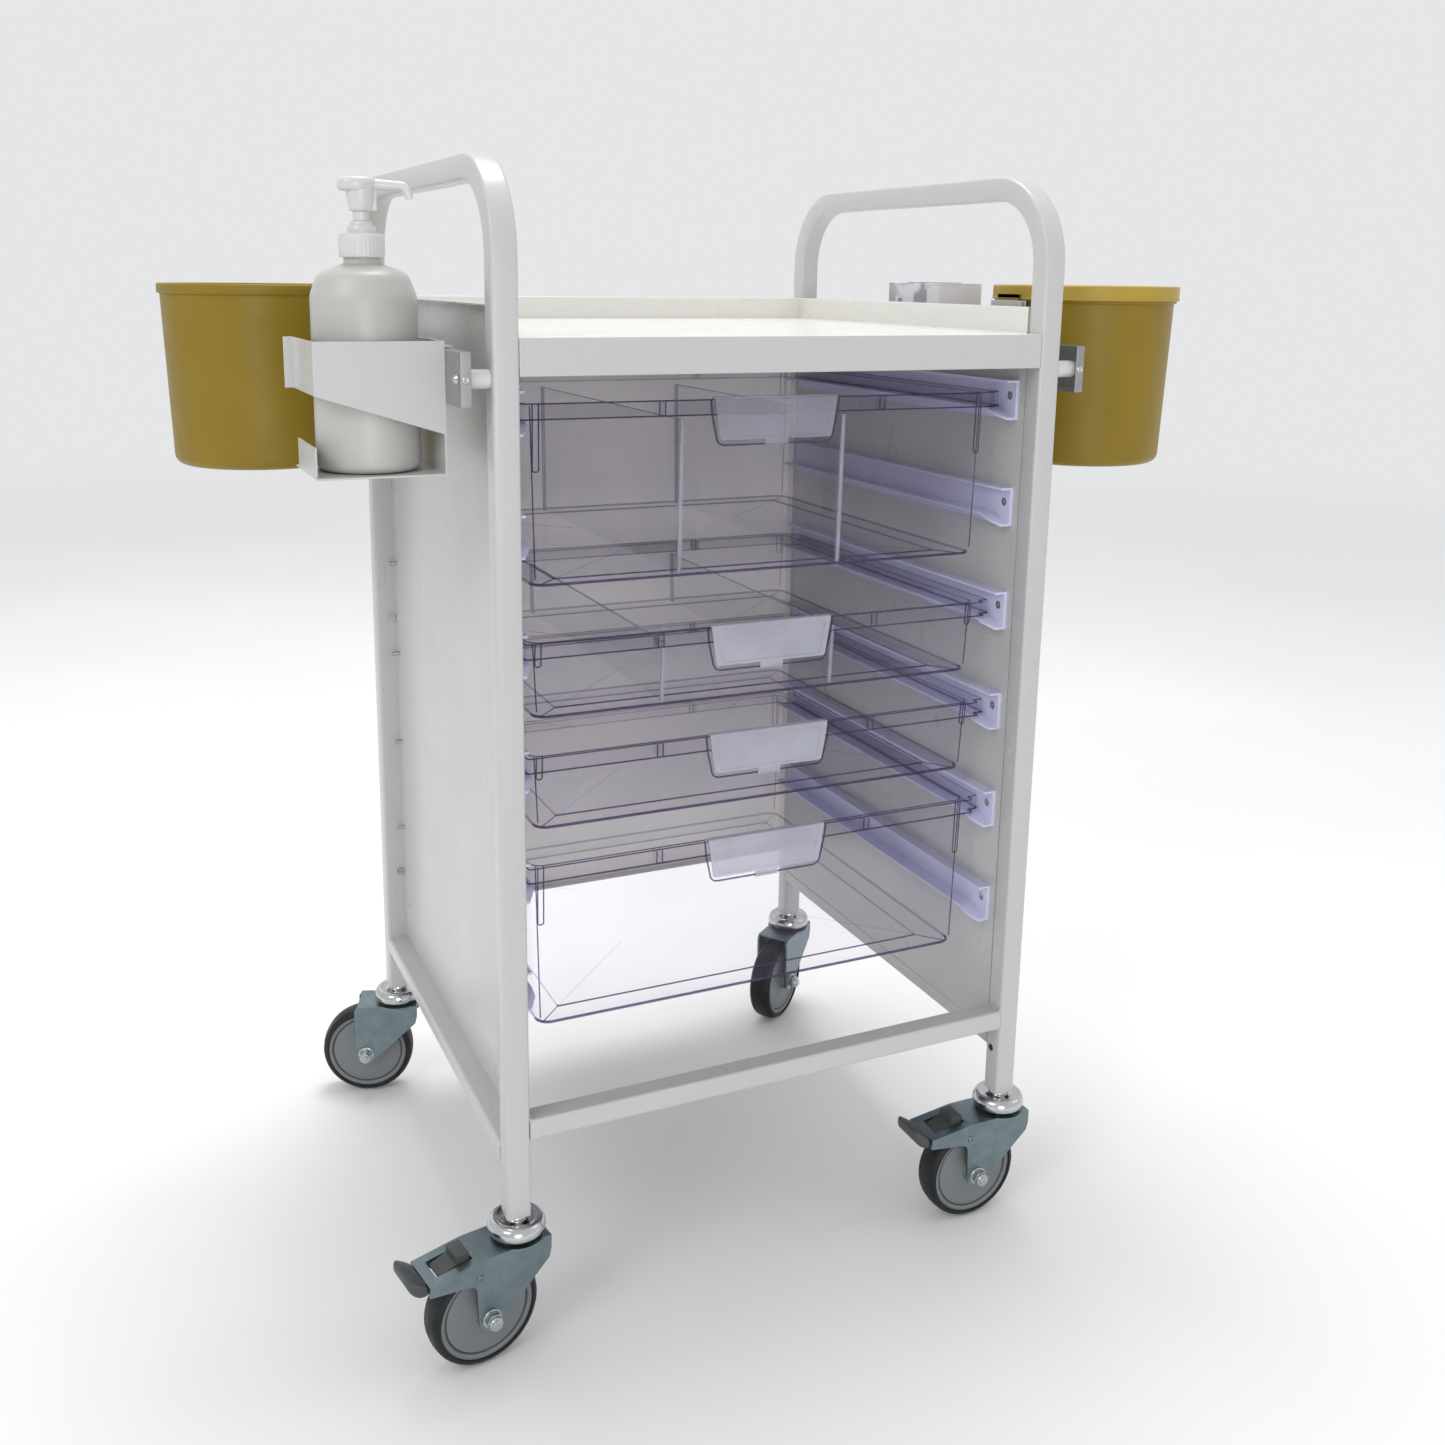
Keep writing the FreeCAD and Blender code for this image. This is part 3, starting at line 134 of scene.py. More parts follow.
# ---------------------------------------------------------------- finishes
class Finish:
    """A material under construction: a surface shader with a few textures laid in object space."""

    def __init__(self, name):
        self.material = bpy.data.materials.new(name)
        self.material.use_nodes = True
        self.tree = self.material.node_tree
        self.surface = self.tree.nodes["Principled BSDF"]
        self.output = self.tree.nodes["Material Output"]
        self.place = self.tree.nodes.new("ShaderNodeTexCoord").outputs["Object"]

    def node(self, kind, **inputs):
        """Add a node and set its inputs, linking those that are sockets."""
        made = self.tree.nodes.new(kind)
        for key, value in inputs.items():
            self.put(made.inputs[int(key[1:]) if key[1:].isdigit() else key.replace("_", " ")], value)
        return made

    def put(self, socket, value):
        """Link a socket to another, or set its value."""
        if isinstance(value, bpy.types.NodeSocket):
            self.tree.links.new(value, socket)
        else:
            socket.default_value = value

    def noise(self, scale, detail=3.0, roughness=0.5, stretch=None):
        """Noise from 0 to 1, optionally stretched along an axis."""
        place = self.place
        if stretch:
            place = self.node("ShaderNodeMapping", Vector=place, Scale=stretch).outputs[0]
        return self.node(
            "ShaderNodeTexNoise", Vector=place, Scale=scale, Detail=detail, Roughness=roughness
        ).outputs["Fac"]

    def span(self, value, low, high, start=0.3, end=0.7):
        """A 0 to 1 texture spread over a range of numbers."""
        made = self.node(
            "ShaderNodeMapRange", Value=value, From_Min=start, From_Max=end, To_Min=low, To_Max=high
        )
        return made.outputs[0]

    def blend(self, share, first, second):
        """Two colours mixed by a share."""
        made = self.tree.nodes.new("ShaderNodeMix")
        made.data_type = "RGBA"
        self.put(made.inputs["Factor"], share)
        self.put(made.inputs[6], first if isinstance(first, bpy.types.NodeSocket) else (*first, 1.0))
        self.put(made.inputs[7], second if isinstance(second, bpy.types.NodeSocket) else (*second, 1.0))
        return made.outputs[2]

    def bump(self, height, distance, strength):
        """Surface relief of a given depth in metres."""
        made = self.node("ShaderNodeBump", Height=height, Distance=distance, Strength=strength)
        self.put(self.surface.inputs["Normal"], made.outputs[0])

    def set(self, **inputs):
        """Set the surface shader's inputs."""
        for key, value in inputs.items():
            if isinstance(value, tuple) and len(value) == 3:
                value = (*value, 1.0)
            self.put(self.surface.inputs[key.replace("_", " ")], value)

    def let_through(self, see, share):
        """Mix the surface over a shader that lets light through, by a share."""
        mix = self.node("ShaderNodeMixShader", i0=share, i1=see.outputs[0], i2=self.surface.outputs[0])
        self.put(self.output.inputs["Surface"], mix.outputs[0])


def shade(base, factor):
    """A colour made lighter or darker."""
    return tuple(min(1.0, c * factor) for c in base)


def powder_coat(name, base):
    """Baked enamel: faint orange peel, very soft clouding and uneven gloss."""
    f = Finish(name)
    cloud = f.span(f.noise(5.0, 3.0), 0.0, 1.0)
    f.set(
        Base_Color=f.blend(cloud, shade(base, 0.975), shade(base, 1.02)),
        Roughness=f.span(f.noise(14.0, 3.0), 0.26, 0.33),
        Coat_Weight=0.15,
        Coat_Roughness=0.15,
    )
    f.bump(f.noise(240.0, 1.0), 0.02 * MM, 0.03)
    return f.material


def moulded(name, base, low, high, depth=0.05, grain=900.0, **extra):
    """Moulded plastic: fine grain, flow clouding and uneven gloss."""
    f = Finish(name)
    cloud = f.span(f.noise(14.0, 4.0), 0.0, 1.0)
    f.set(
        Base_Color=f.blend(cloud, shade(base, 0.93), shade(base, 1.05)),
        Roughness=f.span(f.noise(60.0, 3.0), low, high),
        **extra,
    )
    f.bump(f.noise(grain, 2.0), depth * MM, 0.35)
    return f.material


def metal(name, base, low, high, stretch=None, scale=300.0, tone=0.85):
    """Bare or plated metal: mottled tone, drawn lines and small scratches."""
    f = Finish(name)
    mottle = f.span(f.noise(70.0, 5.0, 0.6), 0.0, 1.0)
    lines = f.noise(scale, 4.0, 0.6, stretch)
    body = f.blend(mottle, shade(base, tone), shade(base, 1.12))
    f.set(Base_Color=body, Metallic=1.0, Roughness=f.span(lines, low, high))
    f.bump(lines, 0.05 * MM, 0.25)
    return f.material


def rubber(name, base):
    """Tread rubber: dull, dusty in patches, with fine scuffs."""
    f = Finish(name)
    dust = f.span(f.noise(34.0, 6.0, 0.7), 0.0, 1.0, 0.48, 0.75)
    f.set(
        Base_Color=f.blend(dust, base, shade(base, 2.4)),
        Roughness=f.span(f.noise(90.0), 0.38, 0.60),
        Specular_IOR_Level=0.3,
    )
    f.bump(f.noise(420.0, 4.0), 0.12 * MM, 0.4)
    return f.material


def clear_plastic(name, tint, dark, haze, edge, gloss=0.06):
    """Clear sheet: light passes with a tint, and it turns glossy and dense where seen edge-on.

    haze and edge are the shares of light it stops seen square on and edge-on.
    """
    f = Finish(name)
    flow = f.span(f.noise(9.0, 3.0), 0.0, 1.0)
    f.set(
        Base_Color=f.blend(flow, shade(dark, 0.8), shade(dark, 1.3)),
        Roughness=f.span(f.noise(30.0), gloss, gloss * 1.8),
        IOR=1.5,
    )
    f.bump(f.noise(16.0, 2.0), 0.4 * MM, 0.10)
    see = f.node("ShaderNodeBsdfTransparent", Color=f.blend(flow, shade(tint, 0.985), shade(tint, 1.015)))
    facing = f.node("ShaderNodeLayerWeight", Blend=0.5).outputs["Facing"]
    grazing = f.node("ShaderNodeMath", i0=facing, i1=4.0)
    grazing.operation = "POWER"
    share = f.span(grazing.outputs[0], haze, edge, 0.0, 1.0)
    f.let_through(see, share)
    return f.material


def frosted_plastic(name, base, cover):
    """Cloudy sheet: cover is the share of light that scatters, and the rest passes straight."""
    f = Finish(name)
    cloud = f.noise(22.0, 3.0)
    f.set(
        Base_Color=f.blend(f.span(cloud, 0.0, 1.0), shade(base, 0.95), shade(base, 1.04)),
        Roughness=f.span(f.noise(200.0), 0.28, 0.42),
    )
    f.bump(f.noise(600.0, 2.0), 0.05 * MM, 0.3)
    see = f.node("ShaderNodeBsdfTransparent", Color=(0.93, 0.93, 0.97, 1.0))
    share = f.span(cloud, cover - 0.03, cover + 0.03)
    f.let_through(see, share)
    return f.material


def printed_board(name):
    """Paperboard with plain printed blocks of grey and lilac, and a fibre grain."""
    f = Finish(name)
    place = f.node("ShaderNodeMapping", Vector=f.place, Scale=(1.0, 34.0, 46.0)).outputs[0]
    cells = f.node("ShaderNodeTexVoronoi", Vector=place, Scale=1.0)
    cells.distance = "CHEBYCHEV"
    tone = f.span(cells.outputs["Color"], 0.0, 1.0, 0.25, 0.8)
    blocks = f.blend(tone, (0.74, 0.73, 0.77), (0.30, 0.29, 0.36))
    patch = f.span(f.noise(26.0, 1.0), 0.0, 1.0, 0.47, 0.53)
    body = f.blend(patch, (0.76, 0.76, 0.80), blocks)
    f.set(Base_Color=body, Roughness=f.span(f.noise(150.0), 0.42, 0.58))
    f.bump(f.noise(700.0, 4.0), 0.06 * MM, 0.4)
    return f.material


def studio_floor(name):
    """Pale seamless floor that fades out with distance."""
    f = Finish(name)
    cloud = f.span(f.noise(1.4, 3.0), 0.0, 1.0)
    f.set(Base_Color=f.blend(cloud, (0.80, 0.80, 0.80), (0.84, 0.84, 0.84)), Roughness=0.7)
    away = f.node("ShaderNodeVectorMath", i0=f.place)
    away.operation = "LENGTH"
    share = f.span(away.outputs["Value"], 1.0, 0.0, 2.2, 6.0)
    f.let_through(f.node("ShaderNodeBsdfTransparent"), share)
    return f.material


def material(name):
    """A finish by name, made the first time it is asked for."""
    finish = "cart_" + name
    if finish not in bpy.data.materials:
        c = bpy.context.scene.cart_colours
        edge = tuple(c.tray_dark)
        drawn = (900.0, 9.0, 900.0)
        makers = {
            "white_coat": lambda: powder_coat(finish, tuple(c.coat)),
            "back_panel_lit_coat": lambda: powder_coat(finish, tuple(c.back_panel_lit_coat)),
            "deck_painted_light_coat": lambda: powder_coat(finish, tuple(c.deck_painted_light_coat)),
            "tray_clear": lambda: clear_plastic(finish, tuple(c.tray_tint), tuple(c.tray_haze), 0.035, 0.34),
            "tray_edge": lambda: clear_plastic(finish, (0.62, 0.58, 0.74), edge, 0.40, 0.85, 0.12),
            "tray_thin_edge": lambda: clear_plastic(finish, (0.90, 0.88, 0.95), edge, 0.08, 0.35, 0.12),
            "divider_clear": lambda: clear_plastic(finish, (0.985, 0.985, 0.99), (0.4, 0.4, 0.5), 0.02, 0.25),
            "divider_edge": lambda: frosted_plastic(finish, (0.50, 0.52, 0.56), 0.45),
            "label_clear": lambda: frosted_plastic(finish, tuple(c.label), 0.30),
            "label_frosted": lambda: frosted_plastic(finish, tuple(c.label), 0.55),
            "runner_white_with_tray_cast": lambda: moulded(finish, tuple(c.runner), 0.3, 0.45, 0.03),
            "spacer_white": lambda: moulded(finish, (0.60, 0.60, 0.60), 0.3, 0.45, 0.03),
            "tub_yellow": lambda: moulded(
                finish, tuple(c.tub), 0.36, 0.48, 0.05, 1200.0, Specular_IOR_Level=0.3
            ),
            # The lid's lighter yellow is a painted highlight.
            "tub_lid": lambda: moulded(
                finish, tuple(c.tub_highlight_yellow), 0.34, 0.46, 0.05, 1200.0, Specular_IOR_Level=0.35
            ),
            "bottle_white": lambda: moulded(finish, tuple(c.bottle), 0.30, 0.42, 0.04),
            "pump_white": lambda: moulded(finish, (0.60, 0.605, 0.60), 0.18, 0.28, 0.02),
            "hub_grey": lambda: moulded(finish, tuple(c.hub), 0.38, 0.52, 0.05),
            "hub_groove_shade": lambda: moulded(finish, (0.045, 0.048, 0.052), 0.45, 0.6, 0.04, 500.0),
            "pedal_grey": lambda: moulded(finish, tuple(c.pedal), 0.40, 0.55, 0.08),
            "black_plug": lambda: moulded(finish, (0.012, 0.012, 0.013), 0.35, 0.5),
            "tread_rubber": lambda: rubber(finish, tuple(c.tread)),
            "zinc_steel": lambda: metal(finish, tuple(c.zinc), 0.26, 0.44, None, 260.0),
            "screw_steel": lambda: metal(finish, (0.50, 0.52, 0.52), 0.18, 0.32, None, 600.0),
            "chrome": lambda: metal(finish, (0.52, 0.53, 0.53), 0.10, 0.20, None, 120.0, 0.93),
            "rail_aluminium": lambda: metal(finish, tuple(c.rail), 0.26, 0.42, drawn, 1.0, 0.93),
            "carton_board": lambda: printed_board(finish),
            "carton_mouth_shade": lambda: moulded(finish, (0.012, 0.012, 0.014), 0.4, 0.6),
            "studio_floor": lambda: studio_floor(finish),
        }
        makers[name]()
    return bpy.data.materials[finish]


# ---------------------------------------------------------------- mesh helpers
def add_piece(name, mesh_maker, finishes, body, replaces=(), edge=0.0):
    """Turn a bmesh into a smooth-shaded piece that rides on a body."""
    data = bpy.data.meshes.new(name)
    mesh_maker.normal_update()
    mesh_maker.to_mesh(data)
    mesh_maker.free()
    for finish in finishes:
        data.materials.append(material(finish))
    piece = bpy.data.objects.new(name, data)
    bpy.context.scene.collection.objects.link(piece)
    smooth(piece)
    if edge:
        soften(piece, edge)
    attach(piece, body)
    if replaces:
        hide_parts(*replaces)
    return piece


def smooth(piece, angle=38.0):
    """Smooth shading, kept crisp over sharp edges."""
    for face in piece.data.polygons:
        face.use_smooth = True
    mesh_maker = bmesh.new()
    mesh_maker.from_mesh(piece.data)
    for line in mesh_maker.edges:
        if len(line.link_faces) == 2:
            line.smooth = line.calc_face_angle(0.0) < math.radians(angle)
    mesh_maker.to_mesh(piece.data)
    mesh_maker.free()


def soften(piece, width, angle=38.0, weld=False):
    """Round the sharp edges a little, so that they catch the light."""
    if weld:
        piece.modifiers.new("Weld", "WELD").merge_threshold = 0.01 * MM
        flat = piece.modifiers.new("Flat", "DECIMATE")
        flat.decimate_type = "DISSOLVE"
        flat.angle_limit = math.radians(0.5)
    bevel = piece.modifiers.new("Edges", "BEVEL")
    bevel.width = width
    bevel.segments = 2
    bevel.limit_method = "ANGLE"
    bevel.angle_limit = math.radians(angle)
    bevel.use_clamp_overlap = True
    bevel.harden_normals = False
    normals = piece.modifiers.new("Normals", "WEIGHTED_NORMAL")
    normals.keep_sharp = False
    normals.weight = 80


def coat_node(node, finish, edge):
    """Give a frame node its finish and soft edges."""
    piece = frame["nodes"][node]
    piece.data.materials.clear()
    piece.data.materials.append(material(finish))
    for face in piece.data.polygons:
        face.material_index = 0
    if edge:
        soften(piece, edge, 32.0, weld=True)


def paint_deck_light():
    """Painted light: a lighter coat on the deck's tray behind its apron, on faces that point up or lie
    towards the back, standing in for the light that falls there.
    """
    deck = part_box("deck")
    piece = frame["nodes"]["deck"]
    piece.data.materials.append(material("deck_painted_light_coat"))
    for face in piece.data.polygons:
        if face.normal.z > 0.7 or face.center.y > deck[0].y + 20 * MM:
            face.material_index = 1


def bridge(mesh_maker, first, second, closed=True, finish=0):
    """Quads between two rows of vertices of the same length."""
    count = len(first)
    for i in range(count if closed else count - 1):
        j = (i + 1) % count
        face = mesh_maker.faces.new((first[i], first[j], second[j], second[i]))
        face.material_index = finish


def lathe(mesh_maker, profile, segments=64, centre=(0.0, 0.0, 0.0), finish=0, ripple=None):
    """Turn an outline of (radius, height) points about an upright axis."""
    rows = []
    for index, (radius, height) in enumerate(profile):
        row = []
        for k in range(segments):
            a = 2 * math.pi * k / segments
            r = radius + (ripple(index, k) if ripple else 0.0)
            place = (centre[0] + r * math.cos(a), centre[1] + r * math.sin(a), centre[2] + height)
            row.append(mesh_maker.verts.new(place))
        rows.append(row)
    for first, second in zip(rows, rows[1:]):
        bridge(mesh_maker, first, second, True, finish)
    return rows


def in_metres(profile, scale=1.0):
    """An outline given in millimetres, its radii scaled."""
    return [(radius * scale * MM, height * MM) for radius, height in profile]


def blunt(value, power):
    """A sine or cosine bent towards a fuller curve."""
    return math.copysign(abs(value) ** power, value)


def turn_to(axis):
    """Matrix that turns the upright axis to another."""
    return Vector((0, 0, 1)).rotation_difference(Vector(axis)).to_matrix().to_4x4()


def cap(mesh_maker, row, finish=0):
    """Close a row of vertices with one face."""
    face = mesh_maker.faces.new(row)
    face.material_index = finish


def join(mesh_maker, part):
    """Add one mesh under construction to another."""
    copy = bpy.data.meshes.new("part")
    part.to_mesh(copy)
    part.free()
    mesh_maker.from_mesh(copy)
    bpy.data.meshes.remove(copy)


def tidy_faces(mesh_maker):
    """Join doubled points and make the faces of a closed mesh point outwards."""
    bmesh.ops.remove_doubles(mesh_maker, verts=mesh_maker.verts, dist=0.005 * MM)
    bmesh.ops.recalc_face_normals(mesh_maker, faces=mesh_maker.faces)


def arc_outline(profile, start, radius, from_angle, to_angle, steps):
    """Add a rounded corner to an outline, about a centre given as (radius, height)."""
    for k in range(steps + 1):
        a = math.radians(from_angle + (to_angle - from_angle) * k / steps)
        profile.append((start[0] + radius * math.cos(a), start[1] + radius * math.sin(a)))


def sweep(mesh_maker, path, section, closed=False, finish=0, sizes=None, ends=True):
    """Carry a section, given as (side, up) offsets, along a path of points."""
    points = [Vector(p) for p in path]
    count = len(points)
    tangents = []
    for i in range(count):
        before = points[i - 1] if i or closed else points[i]
        after = points[(i + 1) % count] if i < count - 1 or closed else points[i]
        tangents.append((after - before).normalized())
    start = Vector((0, 0, 1)) if abs(tangents[0].z) < 0.9 else Vector((1, 0, 0))
    up = (start - tangents[0] * start.dot(tangents[0])).normalized()
    rows = []
    for i, (point, tangent) in enumerate(zip(points, tangents)):
        if i:
            up = tangents[i - 1].rotation_difference(tangent) @ up
        side = tangent.cross(up)
        grow = sizes[i] if sizes else 1.0
        rows.append([mesh_maker.verts.new(point + (side * s + up * u) * grow) for s, u in section])
    for first, second in zip(rows, rows[1:]):
        bridge(mesh_maker, first, second, True, finish)
    if closed:
        bridge(mesh_maker, rows[-1], rows[0], True, finish)
    elif ends:
        cap(mesh_maker, rows[0][::-1], finish)
        cap(mesh_maker, rows[-1], finish)
    return rows


def circle(radius, steps=8):
    """Round section."""
    return [
        (radius * math.cos(2 * math.pi * k / steps), radius * math.sin(2 * math.pi * k / steps))
        for k in range(steps)
    ]


def rounded_square(half_wide, half_tall, corner, steps=4):
    """Rectangular section with round corners."""
    points = []
    for sx, sy, a0 in ((1, 1, 0), (-1, 1, 90), (-1, -1, 180), (1, -1, 270)):
        x, y = sx * (half_wide - corner), sy * (half_tall - corner)
        for k in range(steps + 1):
            a = math.radians(a0 + 90 * k / steps)
            points.append((x + corner * math.cos(a), y + corner * math.sin(a)))
    return points


def block(mesh_maker, low, high, finish=0):
    """A plain body between two corners, to be rounded by its piece's edge bevel."""
    made = bmesh.ops.create_cube(mesh_maker, size=1.0)
    low, high = Vector(low), Vector(high)
    centre, size = (low + high) / 2, high - low
    for vertex in made["verts"]:
        vertex.co = Vector((vertex.co.x * size.x, vertex.co.y * size.y, vertex.co.z * size.z)) + centre
    for face in {f for v in made["verts"] for f in v.link_faces}:
        face.material_index = finish


# ---------------------------------------------------------------- tubes, sheet and rails
def hoop_line(x, low, high, half, bend):
    """Centre line of a side hoop."""
    steps = 14
    line = [(x, -half, low), (x, -half, (low + high) / 2), (x, -half, high - bend)]
    for k in range(1, steps + 1):
        a = math.pi / 2 * k / steps
        line.append((x, -half + bend * (1 - math.cos(a)), high - bend * (1 - math.sin(a))))
    for k in range(0, steps + 1):
        a = math.pi / 2 * k / steps
        line.append((x, half - bend * (1 - math.sin(a)), high - bend * (1 - math.cos(a))))
    return line + [(x, half, (low + high) / 2), (x, half, low)]


def build_hoops():
    """Bent square tubes that are the posts and handles."""
    sizes = bpy.context.scene.cart_sizes
    for side in ("left", "right"):
        low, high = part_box(side + "_hoop")
        half_tube = (high.x - low.x) / 2
        x = (low.x + high.x) / 2
        line = hoop_line(x, low.z, high.z - half_tube, high.y - half_tube, sizes.handle_bend)
        shape = bmesh.new()
        outer = sweep(shape, line, rounded_square(half_tube, half_tube, sizes.tube_corner), ends=False)
        inner = sweep(
            shape, line, rounded_square(half_tube - 1.5 * MM, half_tube - 1.5 * MM, 1.2 * MM), ends=False
        )
        bridge(shape, outer[0], inner[0])
        bridge(shape, outer[-1], inner[-1])
        tidy_faces(shape)
        add_piece(side + "_tube", shape, ["white_coat"], "frame", [side + "_hoop"])


def build_welds():
    """Small weld fillets where the lower rails meet the posts."""
    shape = bmesh.new()
    low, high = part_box("front_rail")
    for x in (low.x, high.x):
        for y, z in ((low.y + 1.5 * MM, low.z), (low.y + 1.5 * MM, high.z)):
            line = [(x, y + 17 * MM * k / 8, z) for k in range(9)]
            beads = [1.0 + 0.25 * math.sin(k * 2.4) for k in range(9)]
            sweep(shape, line, circle(1.5 * MM), sizes=beads)
    low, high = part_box("side_rails")
    for sx in (-1, 1):
        for sy in (-1, 1):
            for z in (low.z, high.z):
                line = [(sx * (high.x - 18 * MM + 16 * MM * k / 8), sy * high.y, z) for k in range(9)]
                beads = [1.0 + 0.25 * math.sin(k * 2.1 + 1) for k in range(9)]
                sweep(shape, line, circle(1.4 * MM), sizes=beads)
    tidy_faces(shape)
    add_piece("weld_beads", shape, ["white_coat"], "frame")


def build_post_plug():
    """Black push-in plug in the right front post."""
    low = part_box("right_hoop")[0]
    shape = bmesh.new()
    profile = [(0.05, 1.3), (1.6, 1.2), (2.6, 0.8), (3.2, 0.3), (3.4, 0.0)]
    rows = lathe(shape, in_metres(profile), 24)
    cap(shape, rows[0])
    spot = Matrix.Translation((low.x, low.y + 12 * MM, low.z + 43 * MM))
    turn = Matrix.Rotation(-math.pi / 2, 4, "Y")
    bmesh.ops.transform(shape, matrix=spot @ turn, verts=shape.verts)
    bmesh.ops.recalc_face_normals(shape, faces=shape.faces)
    add_piece("post_plug", shape, ["black_plug"], "frame")


def build_rail_caps():
    """Plates screwed to the ends of the accessory rails."""
    shape = bmesh.new()
    for side in ("left", "right"):
        low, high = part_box(side + "_accessory_rail")
        for y, out in ((low.y, -1), (high.y, 1)):
            y0, y1 = sorted((y + out * 0.1 * MM, y + out * 1.5 * MM))
            inset = Vector((0.1 * MM, 0.0, 0.2 * MM))
            block(shape, Vector((low.x, y0, low.z)) + inset, Vector((high.x, y1, high.z)) - inset)
            screw = bmesh.new()
            profile = [(0.3, 0.5), (1.2, 0.45), (1.5, 1.25), (2.4, 1.1), (3.0, 0.5), (3.1, 0.0)]
            rows = lathe(screw, in_metres(profile), 20, finish=1)
            cap(screw, rows[0], 1)
            spot = Vector(((low.x + high.x) / 2, y + out * 1.45 * MM, (low.z + high.z) / 2))
            place = Matrix.Translation(spot) @ turn_to((0, out, 0))
            bmesh.ops.transform(screw, matrix=place, verts=screw.verts)
            join(shape, screw)
    bmesh.ops.recalc_face_normals(shape, faces=shape.faces)
    finishes = ["rail_aluminium", "screw_steel"]
    add_piece("rail_end_caps", shape, finishes, "frame", edge=0.4 * MM)


# ---------------------------------------------------------------- trays
def corner_points(steps, notch):
    """One corner of a tray outline as (inward x, inward y) distances from its outer corner."""
    if notch:
        wide, deep, r = notch
        return [
            (wide + 2 * r, 0), (wide + 0.6 * r, 0.6 * r), (wide, 2 * r), (wide, deep),
            (2 * r, deep), (0.6 * r, deep + 0.6 * r), (0, deep + 2 * r),
        ]
    return [
        (1 - math.sin(math.pi / 2 * k / steps), 1 - math.cos(math.pi / 2 * k / steps))
        for k in range(steps + 1)
    ]


def tray_outline(half, front, back, z, radius=0.0, notch=None):
    """Closed outline round a tray, with round or notched corners."""
    corner = corner_points(CORNER_STEPS, notch)
    if not notch:
        corner = [(x * radius, y * radius) for x, y in corner]
    right_front = [(half - x, front + y) for x, y in corner]
    right_back = [(half - x, back - y) for x, y in reversed(corner)]
    left_back = [(-half + x, back - y) for x, y in corner]
    left_front = [(-half + x, front + y) for x, y in reversed(corner)]
    return [Vector((x, y, z)) for x, y in right_front + right_back + left_back + left_front]


class TrayShape:
    """Where a tray's walls are, from its frame node."""

    def __init__(self, number):
        sizes = bpy.context.scene.cart_sizes
        low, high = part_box("tray_%d" % number)
        self.top = high.z
        self.floor = low.z + 1.2 * MM
        self.rim = high.x
        self.front = low.y
        self.back = high.y
        self.wall = self.rim - sizes.wall_inset
        self.side_taper = 3.2 * MM
        self.end_taper = 0.4 * MM
        self.over = sizes.overhang
        self.skirt_low = self.top - sizes.skirt
        self.notch = (10 * MM, 8 * MM, 1.2 * MM)

    def at(self, depth):
        """Half width, front and back of the wall at a depth below the rim."""
        share = depth / (self.top - self.floor)
        in_x = self.side_taper * share
        in_y = self.end_taper * share
        return self.wall - in_x, self.front + self.over + in_y, self.back - self.over - in_y

    def wall_loop(self, depth, inset=0.0, radius=11 * MM, drop=0.0):
        """Outline of the wall at a depth, moved inwards."""
        half, front, back = self.at(depth)
        return tray_outline(
            half - inset, front + inset, back - inset, self.top - depth - drop, max(radius - inset, 2 * MM)
        )

    def rim_loop(self, z, inset):
        """Outline of the rim, moved inwards."""
        return tray_outline(self.rim - inset, self.front + inset, self.back - inset, z, notch=self.notch)


def tray_shell(shape, tray, sizes):
    """Floor, walls, rim and skirt as one thin sheet."""
    depth = tray.top - tray.floor
    inset = sizes.floor_inset
    loops = [
        tray.wall_loop(depth, inset + 1.2 * MM, 14 * MM, -1.0 * MM),
        tray.wall_loop(depth, inset, 14 * MM),
        tray.wall_loop(depth, 6 * MM, 14 * MM),
        tray.wall_loop(depth - 0.6 * MM, 3.2 * MM, 13 * MM),
        tray.wall_loop(depth - 2.2 * MM, 1.2 * MM, 12 * MM),
        tray.wall_loop(depth - 5 * MM, 0.2 * MM, 12 * MM),
        tray.wall_loop(depth * 0.5),
        tray.wall_loop(3.5 * MM),
        tray.wall_loop(1.5 * MM, -0.5 * MM),
        tray.wall_loop(0.7 * MM, -2.0 * MM),
        tray.rim_loop(tray.top - 0.7 * MM, 2.4 * MM),
        tray.rim_loop(tray.top - 1.4 * MM, 1.2 * MM),
        tray.rim_loop(tray.top - 3.0 * MM, 0.9 * MM),
        tray.rim_loop(tray.skirt_low + 1.0 * MM, 0.9 * MM),
    ]
    rows = [[shape.verts.new(p) for p in loop] for loop in loops]
    cap(shape, rows[0])
    for first, second in zip(rows, rows[1:]):
        bridge(shape, first, second)


def tray_edges(shape, tray, sizes):
    """The thick edges and moulded lines, drawn as near-black beads: painted dark lines that stand in for the
    refraction at the thick edges of clear plastic.
    """
    depth = tray.top - tray.floor
    bead = sizes.rim_bead
    sweep(shape, tray.rim_loop(tray.skirt_low + bead, 0.9 * MM), circle(bead, 6), True, 1)
    sweep(shape, tray.rim_loop(tray.top - bead, 1.5 * MM), circle(bead * 0.8, 6), True, 1)
    sweep(shape, tray.wall_loop(1.6 * MM, -0.4 * MM), circle(bead * 0.7, 6), True, 1)
    sweep(shape, tray.wall_loop(depth - 1.4 * MM, 2.0 * MM, 13 * MM), circle(bead * 1.7, 6), True, 1)
    floor_line = tray.wall_loop(depth, sizes.floor_inset, 10 * MM, -0.9 * MM)
    sweep(shape, floor_line, circle(sizes.floor_bead, 6), True, 1)
    corner = 3.4 * MM
    for sx in (-1, 1):
        for end in (1, 2):
            line = []
            for step in range(9):
                down = 3 * MM + (depth - 9 * MM) * step / 8
                at = tray.at(down)
                inward = corner if end == 1 else -corner
                line.append((sx * (at[0] - corner), at[end] + inward, tray.top - down))
            sweep(shape, line, circle(bead * 0.8, 6), False, 1)


